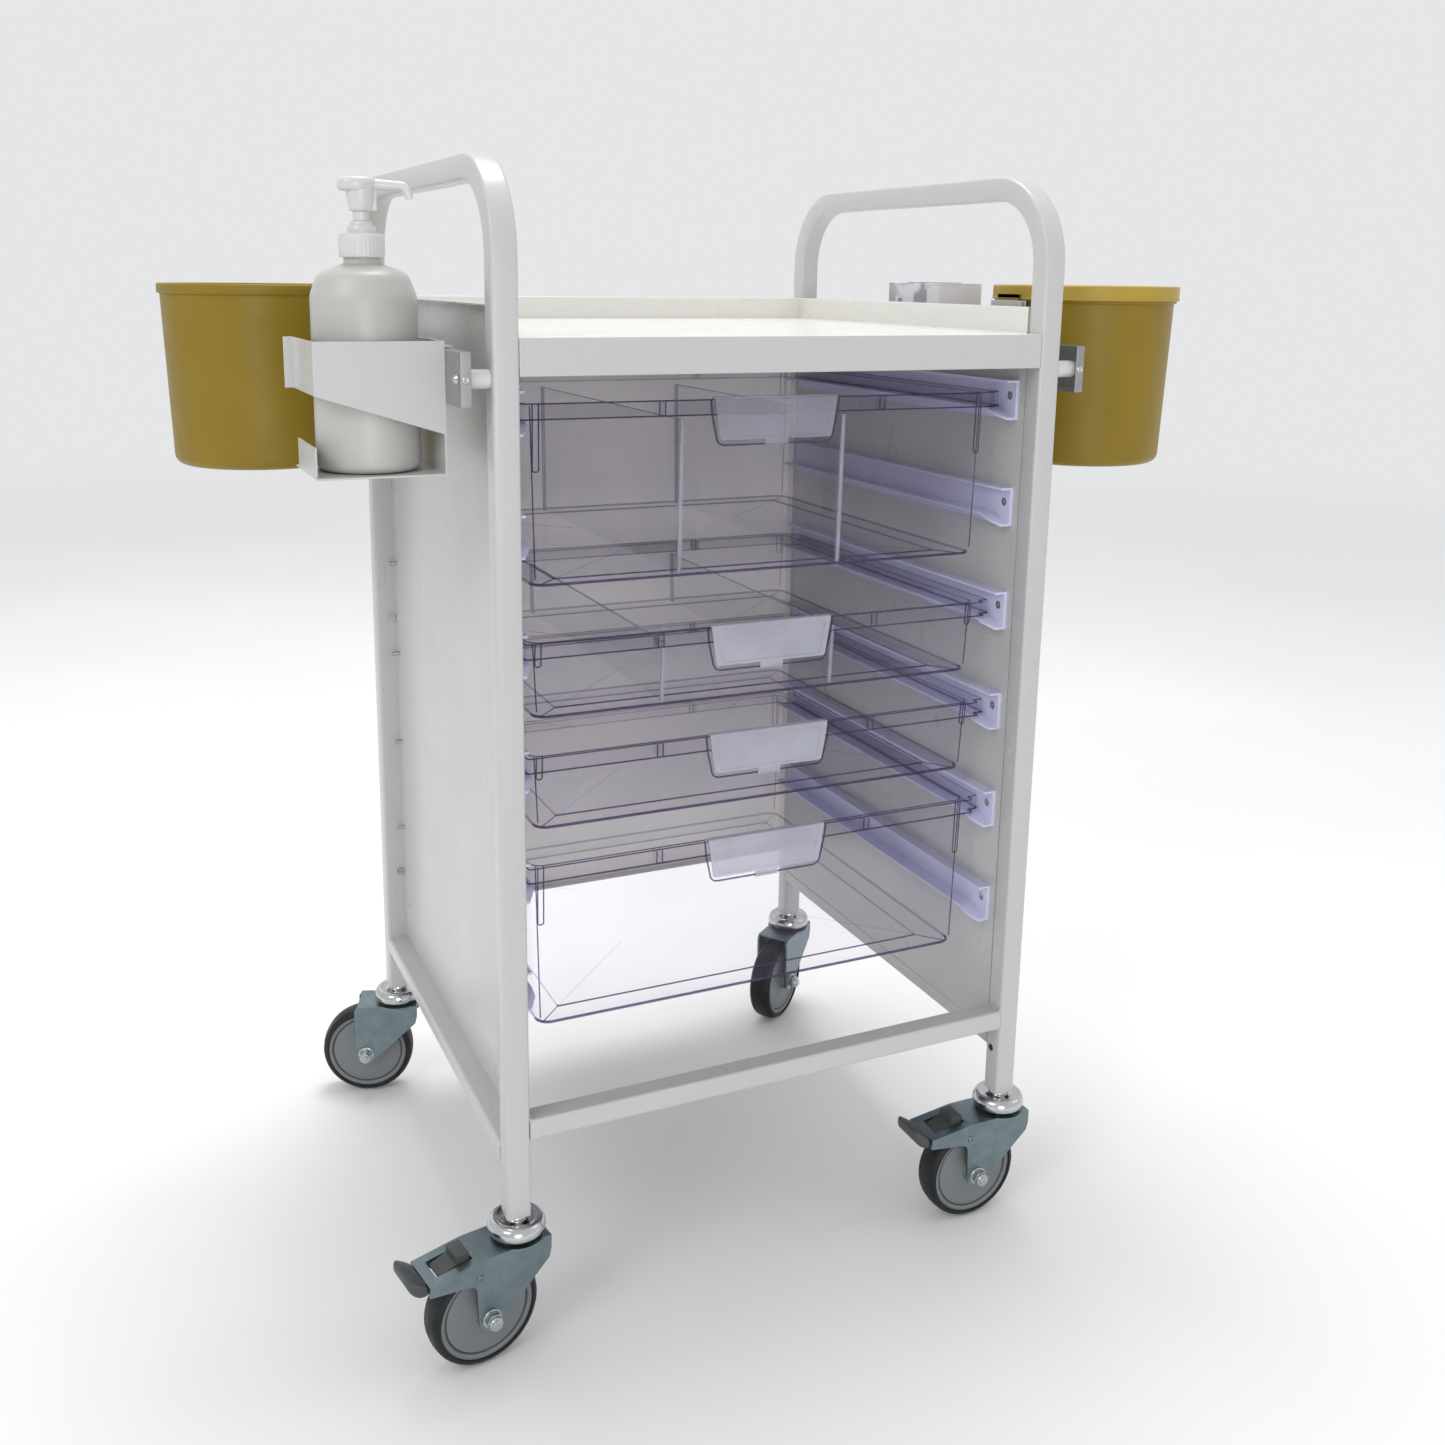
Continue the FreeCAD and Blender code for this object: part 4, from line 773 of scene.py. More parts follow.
def tray_ribs(shape, tray):
    """Ribs in the rim's channel and legs on the front and back walls."""
    leg = 52 * MM if tray.top - tray.floor > 0.1 else 20 * MM
    for face, out in ((tray.front, -1), (tray.back, 1)):
        y = face - out * 0.9 * MM
        for x in (-102 * MM, -97 * MM, 97 * MM, 102 * MM):
            line = [(x, y, tray.top - 1.5 * MM), (x, y, tray.skirt_low + 1 * MM)]
            sweep(shape, line, circle(0.55 * MM, 6), False, 1)
            low = (x - 0.1 * MM, min(y, y - out * 10 * MM), tray.skirt_low + 1 * MM)
            high = (x + 0.1 * MM, max(y, y - out * 10 * MM), tray.top - 1.5 * MM)
            corners = [(low[0], low[1]), (low[0], high[1])]
            face_row = [shape.verts.new((px, py, z)) for z in (low[2], high[2]) for px, py in corners]
            shape.faces.new((face_row[0], face_row[1], face_row[3], face_row[2]))
        for sx in (-1, 1):
            x0, x1 = sx * 198.5 * MM, sx * 203.5 * MM
            wall_y = face - out * (tray.over - 0.6 * MM)
            slope = -out * 4 * MM * leg / (tray.top - tray.floor)
            line = [
                (x0, wall_y, tray.top - 2 * MM), (x0, wall_y + slope, tray.top - leg),
                (x0 + (x1 - x0) * 0.2, wall_y + slope, tray.top - leg - 1.2 * MM),
                (x0 + (x1 - x0) * 0.8, wall_y + slope, tray.top - leg - 1.2 * MM),
                (x1, wall_y + slope, tray.top - leg), (x1, wall_y, tray.top - 2 * MM),
            ]
            sweep(shape, line, circle(0.6 * MM, 6), False, 1)


def tray_floor_lines(shape, tray, sizes):
    """Faint mitre lines moulded across the floor's corners."""
    depth = tray.top - tray.floor
    half, front, back = tray.at(depth)
    z = tray.floor + 0.5 * MM
    for sx in (-1, 1):
        for y, inward in ((front, 1), (back, -1)):
            outer = Vector((sx * (half - 6 * MM), y + inward * 6 * MM, z - 0.2 * MM))
            inner = Vector((sx * (half - sizes.floor_inset), y + inward * sizes.floor_inset, z + 0.3 * MM))
            sweep(shape, [outer, inner], circle(0.45 * MM, 6), False, 1)
            reach = inner + Vector((-sx * 95 * MM, inward * 95 * MM, 0.3 * MM))
            sweep(shape, [inner, reach], circle(0.22 * MM, 5), False, 1)


def tray_flap(shape, tray):
    """Pull flap that hangs from the rim's front."""
    y = tray.front + 0.25 * MM
    top, bottom, drop, corner = 58 * MM, 53 * MM, 37 * MM, 7 * MM
    outline = [(-top, 0.0), (-top + 1.2 * MM, -drop * 0.35), (-bottom, -drop + corner)]
    for k in range(1, 6):
        a = math.pi / 2 * k / 5
        outline.append((-bottom + corner * (1 - math.cos(a)), -drop + corner * (1 - math.sin(a))))
    outline += [(-x, z) for x, z in reversed(outline)]
    line = [Vector((x, y, tray.top - 0.8 * MM + z * 0.985)) for x, z in outline]
    cap(shape, [shape.verts.new(p) for p in line])
    edge = [p + Vector((0, 0.75 * MM, 0)) for p in line]
    sweep(shape, edge, circle(0.75 * MM, 6), False, 1)


def build_tray(number):
    """One clear tray."""
    sizes = bpy.context.scene.cart_sizes
    tray = TrayShape(number)
    shape = bmesh.new()
    tray_shell(shape, tray, sizes)
    tray_edges(shape, tray, sizes)
    tray_ribs(shape, tray)
    tray_floor_lines(shape, tray, sizes)
    tray_flap(shape, tray)
    shape.faces.ensure_lookup_table()
    # Painted shade: edges behind the near part get a fainter copy of the painted dark edge finish.
    for face in shape.faces:
        if face.material_index == 1 and face.calc_center_median().y > tray.front + sizes.near_edge:
            face.material_index = 2
    name = "tray_%d" % number
    finishes = ["tray_clear", "tray_edge", "tray_thin_edge"]
    add_piece(name + "_shell", shape, finishes, "drawer_%d" % number, [name])


def build_dividers(number):
    """Clear cross plates with brighter cut edges."""
    node = "tray_%d_dividers" % number
    low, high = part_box(node)
    half = 1.5 * MM
    shape = bmesh.new()
    slope = 3.3 * MM
    for x in (low.x + half, high.x - half):
        corners = [
            (x, low.y, high.z), (x, high.y, high.z), (x, high.y - slope, low.z), (x, low.y + slope, low.z),
        ]
        cap(shape, [shape.verts.new(p) for p in corners])
        front, back = (corners[3], corners[0]), (corners[2], corners[1])
        for (foot, head), inward in ((front, 1), (back, -1)):
            strip(shape, foot, head, (half, 0, 0), (0, inward * 2.4 * MM, 0))
        strip(shape, corners[0], corners[1], (half * 0.6, 0, 0), (0, 0, -0.6 * MM))
    add_piece(
        node.replace("dividers", "cross_plates"), shape, ["divider_clear", "divider_edge"],
        "drawer_%d" % number, [node],
    )


def strip(mesh_maker, start, end, half_width, inward, finish=1):
    """A straight flat bar from one point to another."""
    half_width, inward = Vector(half_width), Vector(inward)
    rows = []
    for point in (Vector(start), Vector(end)):
        left, right = point - half_width, point + half_width
        row = (left, right, right + inward, left + inward)
        rows.append([mesh_maker.verts.new(p) for p in row])
    bridge(mesh_maker, rows[0], rows[1], True, finish)
    cap(mesh_maker, rows[0][::-1], finish)
    cap(mesh_maker, rows[1], finish)


# ---------------------------------------------------------------- casters
def wheel_place(caster):
    """Matrix that lays a piece turned about Z onto a caster's wheel."""
    low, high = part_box(caster + "_tread")
    centre = (low + high) / 2
    joint = next(j for j in frame["joints"] if j["name"] == caster + "_roll")
    return Matrix.Translation(centre) @ turn_to(joint["axis"])


def build_wheel(caster):
    """Tread and hub of one caster."""
    sizes = bpy.context.scene.cart_sizes
    low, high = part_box(caster + "_tread")
    radius = (high.z - low.z) / 2
    half = 13 * MM
    inner = radius - 6.5 * MM
    s = sizes.tread_shoulder
    profile = [(inner, -half + 1.0 * MM), (inner + 0.8 * MM, -half + 0.2 * MM)]
    arc_outline(profile, (radius - s - 0.6 * MM, -half + s), s, -90, 0, 8)
    profile = [(r, z) for r, z in profile if r >= inner - 1e-9]
    middle = [(radius - 0.15 * MM, -3 * MM), (radius, 0.0), (radius - 0.15 * MM, 3 * MM)]
    profile = profile + middle + [(r, -z) for r, z in reversed(profile)]
    shape = bmesh.new()
    lathe(shape, profile + [profile[0]], 96)
    tidy_faces(shape)
    bmesh.ops.transform(shape, matrix=wheel_place(caster), verts=shape.verts)
    node = caster + "_tread"
    add_piece(caster + "_tyre", shape, ["tread_rubber"], caster + "_wheel", [node])
    build_hub(caster, inner)


def build_hub(caster, outer):
    """Hub with its boss, dished disc, groove and outer ring on both faces; a near-black ring in each groove
    is painted shade.
    """
    face = [
        (4.1, 16.4), (9.2, 16.4), (10.0, 15.6), (10.6, 10.8), (12.0, 10.0), (24.0, 9.7), (34.4, 10.0),
        (35.2, 9.8), (35.4, 9.0), (35.5, 8.2), (36.7, 8.2), (36.8, 10.0), (37.2, 10.7), (38.0, 11.1),
        (40.0, 11.3), (outer / MM - 0.1, 10.9),
    ]
    profile = [(r * MM, z * MM) for r, z in face] + [(r * MM, -z * MM) for r, z in reversed(face)]
    shape = bmesh.new()
    lathe(shape, profile + [profile[0]], 96)
    # Painted shade: a near-black ring sits in each face's groove.
    for side in (-1, 1):
        ring = [(35.3, 8.9), (35.3, 9.25), (36.9, 9.25), (36.9, 8.9)]
        lathe(shape, [(r * MM, side * z * MM) for r, z in ring], 96, finish=1)
    tidy_faces(shape)
    bmesh.ops.transform(shape, matrix=wheel_place(caster), verts=shape.verts)
    finishes = ["hub_grey", "hub_groove_shade"]
    add_piece(caster + "_hub_disc", shape, finishes, caster + "_wheel", [caster + "_hub"])


def build_cup(caster):
    """Chrome swivel cover with its stem and kingpin."""
    node = caster + "_caster_cup"
    low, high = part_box(node)
    centre = ((low.x + high.x) / 2, (low.y + high.y) / 2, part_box("left_hoop")[0].z)
    r = (high.x - low.x) / 2
    stem = [(0.1, -0.3), (8.6, -0.3), (9.0, -0.8), (9.2, -4.2), (12.5, -4.8)]
    ring = [
        (0.66, -4.0), (0.72, -3.1), (0.79, -2.9), (0.86, -3.5), (0.92, -4.9), (0.965, -6.8),
        (0.992, -9.0), (1.0, -10.6), (0.99, -12.4), (0.955, -14.2), (0.90, -15.6), (0.84, -16.3),
        (0.78, -16.2), (0.74, -15.0), (0.6, -14.2), (0.1, -14.0),
    ]
    shape = bmesh.new()
    rows = lathe(shape, in_metres(stem) + [(r * a, z * MM) for a, z in ring], 64, centre)
    cap(shape, rows[0])
    cap(shape, rows[-1][::-1])
    kingpin = [(5.0, -14.1), (5.0, -19.8), (8.6, -20.8), (8.9, -22.6), (6.0, -23.4)]
    rows = lathe(shape, in_metres(kingpin), 32, centre)
    cap(shape, rows[-1])
    bmesh.ops.recalc_face_normals(shape, faces=shape.faces)
    add_piece(caster + "_cup", shape, ["chrome"], "frame", [node])


def caster_place(caster):
    """Matrix from a braked caster's own frame: X along its fork, Z up, origin at the post's foot."""
    joint = next(j for j in frame["joints"] if j["name"] == caster + "_brake_press")
    across = Vector(joint["axis"]).normalized()
    along = across.cross(Vector((0, 0, 1))).normalized()
    swivel = next(j for j in frame["joints"] if j["name"] == caster + "_swivel")
    origin = Vector((swivel["pos_m"][0], swivel["pos_m"][1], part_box("left_hoop")[0].z))
    if (Vector(joint["pos_m"]) - origin).dot(along) < 0:
        along = -along
    side = Vector((0, 0, 1)).cross(along)
    return Matrix.Translation(origin) @ Matrix((along, side, Vector((0, 0, 1)))).transposed().to_4x4()


def build_pedal(caster):
    """Foot pedal: grooved toe past the fork, release tab in the window and the arms they turn on."""
    shape = bmesh.new()
    stations = (
        (80.0, 15.0, -27.0, -30.0), (85.4, 16.6, -25.6, -31.0), (86.2, 17.4, -23.6, -31.4),
        (88.0, 18.0, -21.8, -31.4), (91.0, 18.3, -19.7, -31.0), (94.0, 18.2, -17.6, -30.0),
        (97.0, 17.7, -15.6, -28.0), (99.2, 16.8, -14.4, -25.6), (100.8, 15.2, -14.6, -22.8),
        (101.6, 13.4, -16.0, -20.2),
    )
    rows = []
    for x, w, top, low in stations:
        c = min(2.4, (top - low) * 0.3)
        section = [
            (w - c, top), (w - c * 0.3, top - c * 0.3), (w, top - c), (w, low + c),
            (w - c * 0.3, low + c * 0.3), (w - c, low), (0, low), (-w + c, low),
            (-w + c * 0.3, low + c * 0.3), (-w, low + c), (-w, top - c), (-w + c * 0.3, top - c * 0.3),
            (-w + c, top), (0, top + 0.25),
        ]
        rows.append([shape.verts.new((x, y, z)) for y, z in section])
    for first, second in zip(rows, rows[1:]):
        bridge(shape, first, second)
    cap(shape, rows[0])
    cap(shape, rows[-1])
    for index in range(5):
        x0 = 87.2 + 2.5 * index
        line = []
        for k in range(21):
            t = -1 + 2 * k / 20
            x = min(x0 + 2.2 * (1 - abs(t) ** 2.4) - 1.0, 99.0)
            line.append((x, t * (13.4 - 0.7 * index), -23.3 + 0.70 * (x - 86.2) + 0.35))
        sweep(shape, line, [(a * 1.5, b) for a, b in circle(0.6, 8)])
    tab = [
        (46.6, -26.0), (46.6, -13.4), (47.6, -12.3), (57.2, -12.5), (58.4, -13.6), (58.8, -19.5),
        (73.2, -24.6), (73.4, -26.2),
    ]
    w = 9.6
    rows = [[shape.verts.new((x, y, z)) for x, z in tab] for y in (-w, -w + 0.6, w - 0.6, w)]
    for row in (rows[0], rows[3]):
        centre = sum((v.co for v in row), Vector()) / len(row)
        for v in row:
            v.co = centre + (v.co - centre) * 0.94
    for first, second in zip(rows, rows[1:]):
        bridge(shape, first, second)
    cap(shape, rows[0])
    cap(shape, rows[-1])
    bmesh.ops.scale(shape, vec=(MM, MM, MM), verts=shape.verts)
    bmesh.ops.recalc_face_normals(shape, faces=shape.faces)
    bmesh.ops.transform(shape, matrix=caster_place(caster), verts=shape.verts)
    node = caster + "_brake_pedal"
    add_piece(caster + "_pedal", shape, ["pedal_grey"], caster + "_brake", [node])


def build_axle(caster):
    """Axle bolt with a washer, a locking nut and a hexagon head."""
    shape = bmesh.new()
    side = 19.5
    end = side + 11.2
    shank = [(0.1, -side - 6.0), (3.9, -side - 6.0), (3.9, end - 0.8), (3.2, end), (0.1, end)]
    lathe(shape, shank, 24)
    for low in (side + 0.05, -side - 1.25):
        high = low + 1.2
        washer = [(3.9, low), (7.9, low), (8.2, low + 0.2), (8.2, high - 0.2), (7.9, high), (3.9, high)]
        lathe(shape, washer, 40)

    def hexagon(index, k):
        corner = math.cos(math.pi / 6) / math.cos(((k / 48 * 6) % 1 - 0.5) * math.pi / 3)
        return 7.4 * (corner - 1) if index in (1, 2, 3, 4) else 0.0

    for low, high in ((side + 1.3, side + 7.0), (-side - 6.8, -side - 1.3)):
        nut = [(3.9, low), (6.9, low), (7.4, low + 0.5), (7.4, high - 0.5), (6.9, high), (3.9, high)]
        lathe(shape, nut, 48, ripple=hexagon)
    collar = side + 7.0
    lathe(shape, [(6.2, collar), (6.1, collar + 1.8), (5.4, collar + 2.7), (3.9, collar + 2.9)], 32)
    bmesh.ops.scale(shape, vec=(MM, MM, MM), verts=shape.verts)
    bmesh.ops.recalc_face_normals(shape, faces=shape.faces)
    bmesh.ops.transform(shape, matrix=wheel_place(caster), verts=shape.verts)
    body, node = caster + "_swivel_body", caster + "_axle"
    add_piece(caster + "_axle_bolt", shape, ["screw_steel"], body, [node])


def build_caster_trim(caster):
    """Rivet heads on the fork where the brake pivots."""
    joint = next((j for j in frame["joints"] if j["name"] == caster + "_brake_press"), None)
    if joint is None:
        return
    centre, axis = Vector(joint["pos_m"]), Vector(joint["axis"])
    shape = bmesh.new()
    for side in (-1, 1):
        profile = [(0.05, 0.35), (0.9, 0.3), (1.1, 0.9), (2.2, 1.0), (2.9, 0.8), (3.3, 0.0)]
        part = bmesh.new()
        rows = lathe(part, in_metres(profile), 24)
        cap(part, rows[0])
        place = Matrix.Translation(centre + axis * side * 19.6 * MM) @ turn_to(axis * side)
        bmesh.ops.transform(part, matrix=place, verts=part.verts)
        join(shape, part)
    bmesh.ops.recalc_face_normals(shape, faces=shape.faces)
    add_piece(caster + "_rivets", shape, ["zinc_steel"], caster + "_swivel_body")


# ---------------------------------------------------------------- bottle, tubs, carton
def build_bottle():
    """Round bottle with a soft shoulder and a short neck."""
    low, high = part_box("bottle")
    centre = ((low.x + high.x) / 2, (low.y + high.y) / 2, low.z)
    r = (high.x - low.x) / 2
    profile = [(0.1 * MM, 2.5 * MM), (r * 0.5, 2.0 * MM), (r * 0.72, 0.5 * MM), (r - 7 * MM, 0.05 * MM)]
    arc_outline(profile, (r - 6 * MM, 6 * MM), 6 * MM, -80, 0, 6)
    side = 126 * MM
    profile += [(r, 20 * MM), (r, 62 * MM), (r, side - 18 * MM)]
    neck = side + 24 * MM
    for down, radius in (
        (26.0, 38.7), (22.9, 38.4), (19.5, 37.4), (15.6, 35.9), (12.2, 34.8), (9.2, 33.4),
        (7.6, 32.2), (6.2, 30.6), (4.9, 28.4), (3.7, 25.6), (2.6, 22.6), (1.6, 19.4), (0.8, 16.6),
        (0.1, 14.6), (-0.8, 13.8), (-2.2, 13.5),
    ):
        profile.append((radius * r / 38.7, neck - down * MM))
    profile += [(13.4 * MM, neck + 6 * MM), (13.3 * MM, high.z - low.z)]
    shape = bmesh.new()
    rows = lathe(shape, profile, 96, centre)
    cap(shape, rows[0][::-1])
    bmesh.ops.recalc_face_normals(shape, faces=shape.faces)
    add_piece("bottle_shell", shape, ["bottle_white"], "soap_bottle", ["bottle"])


def build_collar():
    """Ribbed screw collar and its step."""
    low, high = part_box("pump_collar")
    centre = ((low.x + high.x) / 2, (low.y + high.y) / 2, low.z)
    r = (high.x - low.x) / 2
    profile = [
        (13.4, 0.2), (15.9, 0.0), (16.4, 0.8), (16.5, 2.0), (16.5, 13.5), (16.2, 15.6), (15.2, 16.8),
        (13.8, 17.0), (10.8, 17.1), (10.3, 17.6), (10.2, 21.6), (9.8, 22.3), (8.4, 22.5), (8.1, 22.9),
        (8.0, 24.8), (7.5, 25.5), (6.3, 25.5),
    ]

    def ribs(index, k):
        return -0.35 * MM if 2 < index < 6 and k % 4 in (0, 1) else 0.0

    shape = bmesh.new()
    lathe(shape, in_metres(profile, r / (16.5 * MM)), 144, centre, ripple=ribs)
    bmesh.ops.recalc_face_normals(shape, faces=shape.faces)
    add_piece("collar", shape, ["pump_white"], "soap_bottle", ["pump_collar"])


def build_pump():
    """Pump head: stem, flared skirt, thumb pad and a spout that turns down."""
    bottle_low, bottle_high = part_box("bottle")
    low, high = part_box("pump_head")
    x, y = (bottle_low.x + bottle_high.x) / 2, (bottle_low.y + bottle_high.y) / 2
    shape = bmesh.new()
    top = high.z
    stem = [(5.8, 0.0), (5.8, top / MM - low.z / MM - 24.2)]
    lathe(shape, in_metres(stem), 40, (x, y, low.z))
    skirt = [
        (5.9, -24.0), (7.4, -24.1), (8.0, -23.6), (8.5, -21.5), (9.2, -18.0), (9.8, -14.0),
        (10.1, -10.5), (10.2, -7.5), (9.4, -5.0), (4.0, -4.5),
    ]
    lathe(shape, in_metres(skirt), 40, (x, y, top))
    turn = math.radians(-12.0)
    c_turn, s_turn = math.cos(turn), math.sin(turn)

    def place(along, across, z):
        return (x + along * c_turn - across * s_turn, y + along * s_turn + across * c_turn, z)

    pad = []
    for k in range(40):
        a = 2 * math.pi * k / 40
        c, t = math.cos(a), math.sin(a)
        narrow = 1.0 - 0.42 * max(0.0, c) ** 1.5
        pad.append((-2.2 + 14.0 * blunt(c, 0.85), 11.8 * narrow * blunt(t, 0.85)))
    levels = (
        (0.70, -9.9), (0.86, -9.6), (0.955, -8.6), (0.995, -6.9), (1.0, -4.8), (0.985, -2.9),
        (0.93, -1.4), (0.82, -0.5), (0.62, -0.1), (0.3, 0.0),
    )
    rows = [
        [shape.verts.new(place(px * grow * MM, py * grow * MM, top + z * MM)) for px, py in pad]
        for grow, z in levels
    ]
    for first, second in zip(rows, rows[1:]):
        bridge(shape, first, second)
    cap(shape, rows[-1])
    cap(shape, rows[0][::-1])
    line, grow = [], []
    for k in range(17):
        t = k / 16
        bend = max(0.0, (t - 0.6) / 0.4)
        along = 2 + 27.5 * min(t, 0.6) / 0.6 + 6.0 * math.sin(bend * math.pi / 2 * 0.8)
        drop = 5.0 + 1.0 * min(t, 0.6) / 0.6 + 9.0 * (1 - math.cos(bend * math.pi / 2))
        line.append(place(along * MM, 0.0, top - drop * MM))
        grow.append(1.18 - 0.40 * t)
    sweep(shape, line, circle(3.7 * MM, 18), sizes=grow)
    rib = [(along, across, z) for along in (8.0, 11.6) for across in (-1.1, 1.1) for z in (-23.4, -6.0)]
    made = [shape.verts.new(place(a * MM, b * MM, top + z * MM)) for a, b, z in rib]
    for row in ((0, 1, 3, 2), (4, 6, 7, 5), (0, 4, 5, 1), (2, 3, 7, 6), (1, 5, 7, 3), (0, 2, 6, 4)):
        shape.faces.new([made[i] for i in row])
    bmesh.ops.recalc_face_normals(shape, faces=shape.faces)
    add_piece("pump_top", shape, ["pump_white"], "pump", ["pump_head"])


def build_tub(side):
    """Round tub with a rolled rim and the tab that hangs it on its bracket."""
    node = side + "_bin"
    low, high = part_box(node)
    sign = -1 if side == "left" else 1
    rim = (high.y - low.y) / 2
    centre = (sign * (max(abs(low.x), abs(high.x)) - rim), (low.y + high.y) / 2, low.z)
    tall = high.z - low.z
    wall = bpy.context.scene.cart_sizes.tub_wall
    r0, r1 = rim - 7 * MM, rim - 2.5 * MM
    outer = [(0.1 * MM, 1.0 * MM), (r0 - 14 * MM, 1.0 * MM), (r0 - 12 * MM, 0.1 * MM)]
    arc_outline(outer, (r0 - 9 * MM, 9 * MM), 9 * MM, -90, 0, 8)
    outer += [(r0 + (r1 - r0) * t, 9 * MM + (tall - 19 * MM) * t) for t in (0.25, 0.5, 0.75, 0.97)]
    outer += [(r1, tall - 9 * MM), (rim - 0.7 * MM, tall - 8.4 * MM)]
    outer += [(rim, tall - 7.4 * MM), (rim, tall - 3.0 * MM)]
    arc_outline(outer, (rim - 1.6 * MM, tall - 1.6 * MM), 1.6 * MM, 0, 90, 5)
    inner = [(rim - 3.4 * MM, tall - 0.5 * MM), (r1 - wall, tall - 2.0 * MM)]
    inner += [(r1 - wall - 0.3 * MM, tall - 12 * MM)]
    inner += [(r0 - wall + (r1 - r0) * t, 9 * MM + (tall - 19 * MM) * t) for t in (0.5, 0.02)]
    inner_floor = []
    arc_outline(inner_floor, (r0 - 9 * MM - wall, 9 * MM + wall), 9 * MM, 0, -90, 6)
    shape = bmesh.new()
    rows = lathe(shape, outer + inner + inner_floor + [(0.1 * MM, 1.0 * MM + wall)], 128, centre)
    cap(shape, rows[0][::-1])
    cap(shape, rows[-1])
    bmesh.ops.recalc_face_normals(shape, faces=shape.faces)
    tab_x = sign * min(abs(low.x), abs(high.x))
    tab_far = tab_x + sign * 2.4 * MM
    inner_x = centre[0] - sign * (r1 - 1 * MM)
    y = centre[1]
    half = 15 * MM
    x0, x1 = sorted((tab_x, tab_far))
    block(shape, (x0, y - half, high.z - 27.5 * MM), (x1, y + half, high.z - 1.5 * MM))
    x0, x1 = sorted((tab_x, inner_x))
    block(shape, (x0, y - half, high.z - 4.5 * MM), (x1, y + half, high.z - 1.5 * MM))
    add_piece(side + "_tub_shell", shape, ["tub_yellow"], side + "_tub", [node])


def build_lid():
    """Snap lid with a rounded edge, a shallow recess and a raised ring."""
    node = "right_bin_lid"
    low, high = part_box(node)
    r = (high.y - low.y) / 2
    centre = (high.x - r, (low.y + high.y) / 2, low.z)
    tall = high.z - low.z
    profile = [(r, 0.0), (r, 1.6 * MM), (r - 0.5 * MM, 2.0 * MM), (r - 0.5 * MM, tall - 3 * MM)]
    arc_outline(profile, (r - 2.0 * MM, tall - 1.6 * MM), 1.5 * MM, 0, 90, 5)
    recess = (
        (6.0, 0.1), (7.5, 0.9), (9.0, 2.9), (12.0, 3.1), (26.0, 3.0), (27.0, 2.2), (29.0, 2.2), (30.0, 3.0),
    )
    profile += [(r - inward * MM, tall - down * MM) for inward, down in recess]
    profile.append((0.1 * MM, tall - 3.0 * MM))
    shape = bmesh.new()
    rows = lathe(shape, profile, 128, centre)
    cap(shape, rows[-1])
    bmesh.ops.recalc_face_normals(shape, faces=shape.faces)
    add_piece("tub_lid_shell", shape, ["tub_lid"], "tub_lid", [node])


def build_carton():
    """Paperboard carton with an oval mouth in its top, drawn as a near-black sheet: painted shade."""
    low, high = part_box("carton")
    shape = bmesh.new()
    block(shape, low, (high.x, high.y, high.z - 0.8 * MM))
    part = []
    cx, cy = (low.x + high.x) / 2, (low.y + high.y) / 2
    for k in range(40):
        a = 2 * math.pi * k / 40
        c, s = math.cos(a), math.sin(a)
        part.append((cx + 17 * MM * blunt(c, 0.6), cy + 36 * MM * blunt(s, 0.6)))
    # Painted shade: the mouth is a near-black oval sheet laid on the top, not a hole.
    rows = [[shape.verts.new((px, py, high.z - drop * MM)) for px, py in part] for drop in (0.75, 0.3)]
    bridge(shape, rows[0], rows[1], True, 1)
    cap(shape, rows[1], 1)
    bmesh.ops.recalc_face_normals(shape, faces=shape.faces)
    finishes = ["carton_board", "carton_mouth_shade"]
    add_piece("carton_box", shape, finishes, "supply_carton", ["carton"], 0.6 * MM)


# ---------------------------------------------------------------- stage
def build_stage():
    """Floor, lights, surrounding light and camera."""
    bpy.ops.mesh.primitive_circle_add(vertices=96, radius=7.0, fill_type="NGON", location=(0, 0, 0))
    floor = bpy.context.object
    floor.name = "studio_floor"
    floor.data.materials.append(material("studio_floor"))
    bpy.context.scene.view_settings.view_transform = "Standard"
    world = bpy.data.worlds.new("studio")
    world.use_nodes = True
    world.node_tree.nodes["Background"].inputs["Color"].default_value = (0.985, 0.99, 1.0, 1.0)
    world.node_tree.nodes["Background"].inputs["Strength"].default_value = 0.80
    bpy.context.scene.world = world
    for name, place, size, power in (
        ("key", (-2.6, -1.6, 2.6), 1.4, 22.0),
        ("side", (2.8, -1.2, 2.2), 1.8, 4.0),
        ("top", (0.2, 0.6, 3.4), 1.6, 55.0),
        ("front", (-0.7, -2.9, 0.75), 1.3, 14.0),
        ("back", (-0.6, 3.0, 2.0), 2.2, 4.0),
    ):
        lamp = bpy.data.lights.new(name, "AREA")
        lamp.shape = "DISK"
        lamp.size = size
        lamp.energy = power
        holder = bpy.data.objects.new(name, lamp)
        holder.location = place
        holder.rotation_euler = (Vector((0, 0, 0.5)) - Vector(place)).to_track_quat("-Z", "Y").to_euler()
        bpy.context.scene.collection.objects.link(holder)
    place_camera()


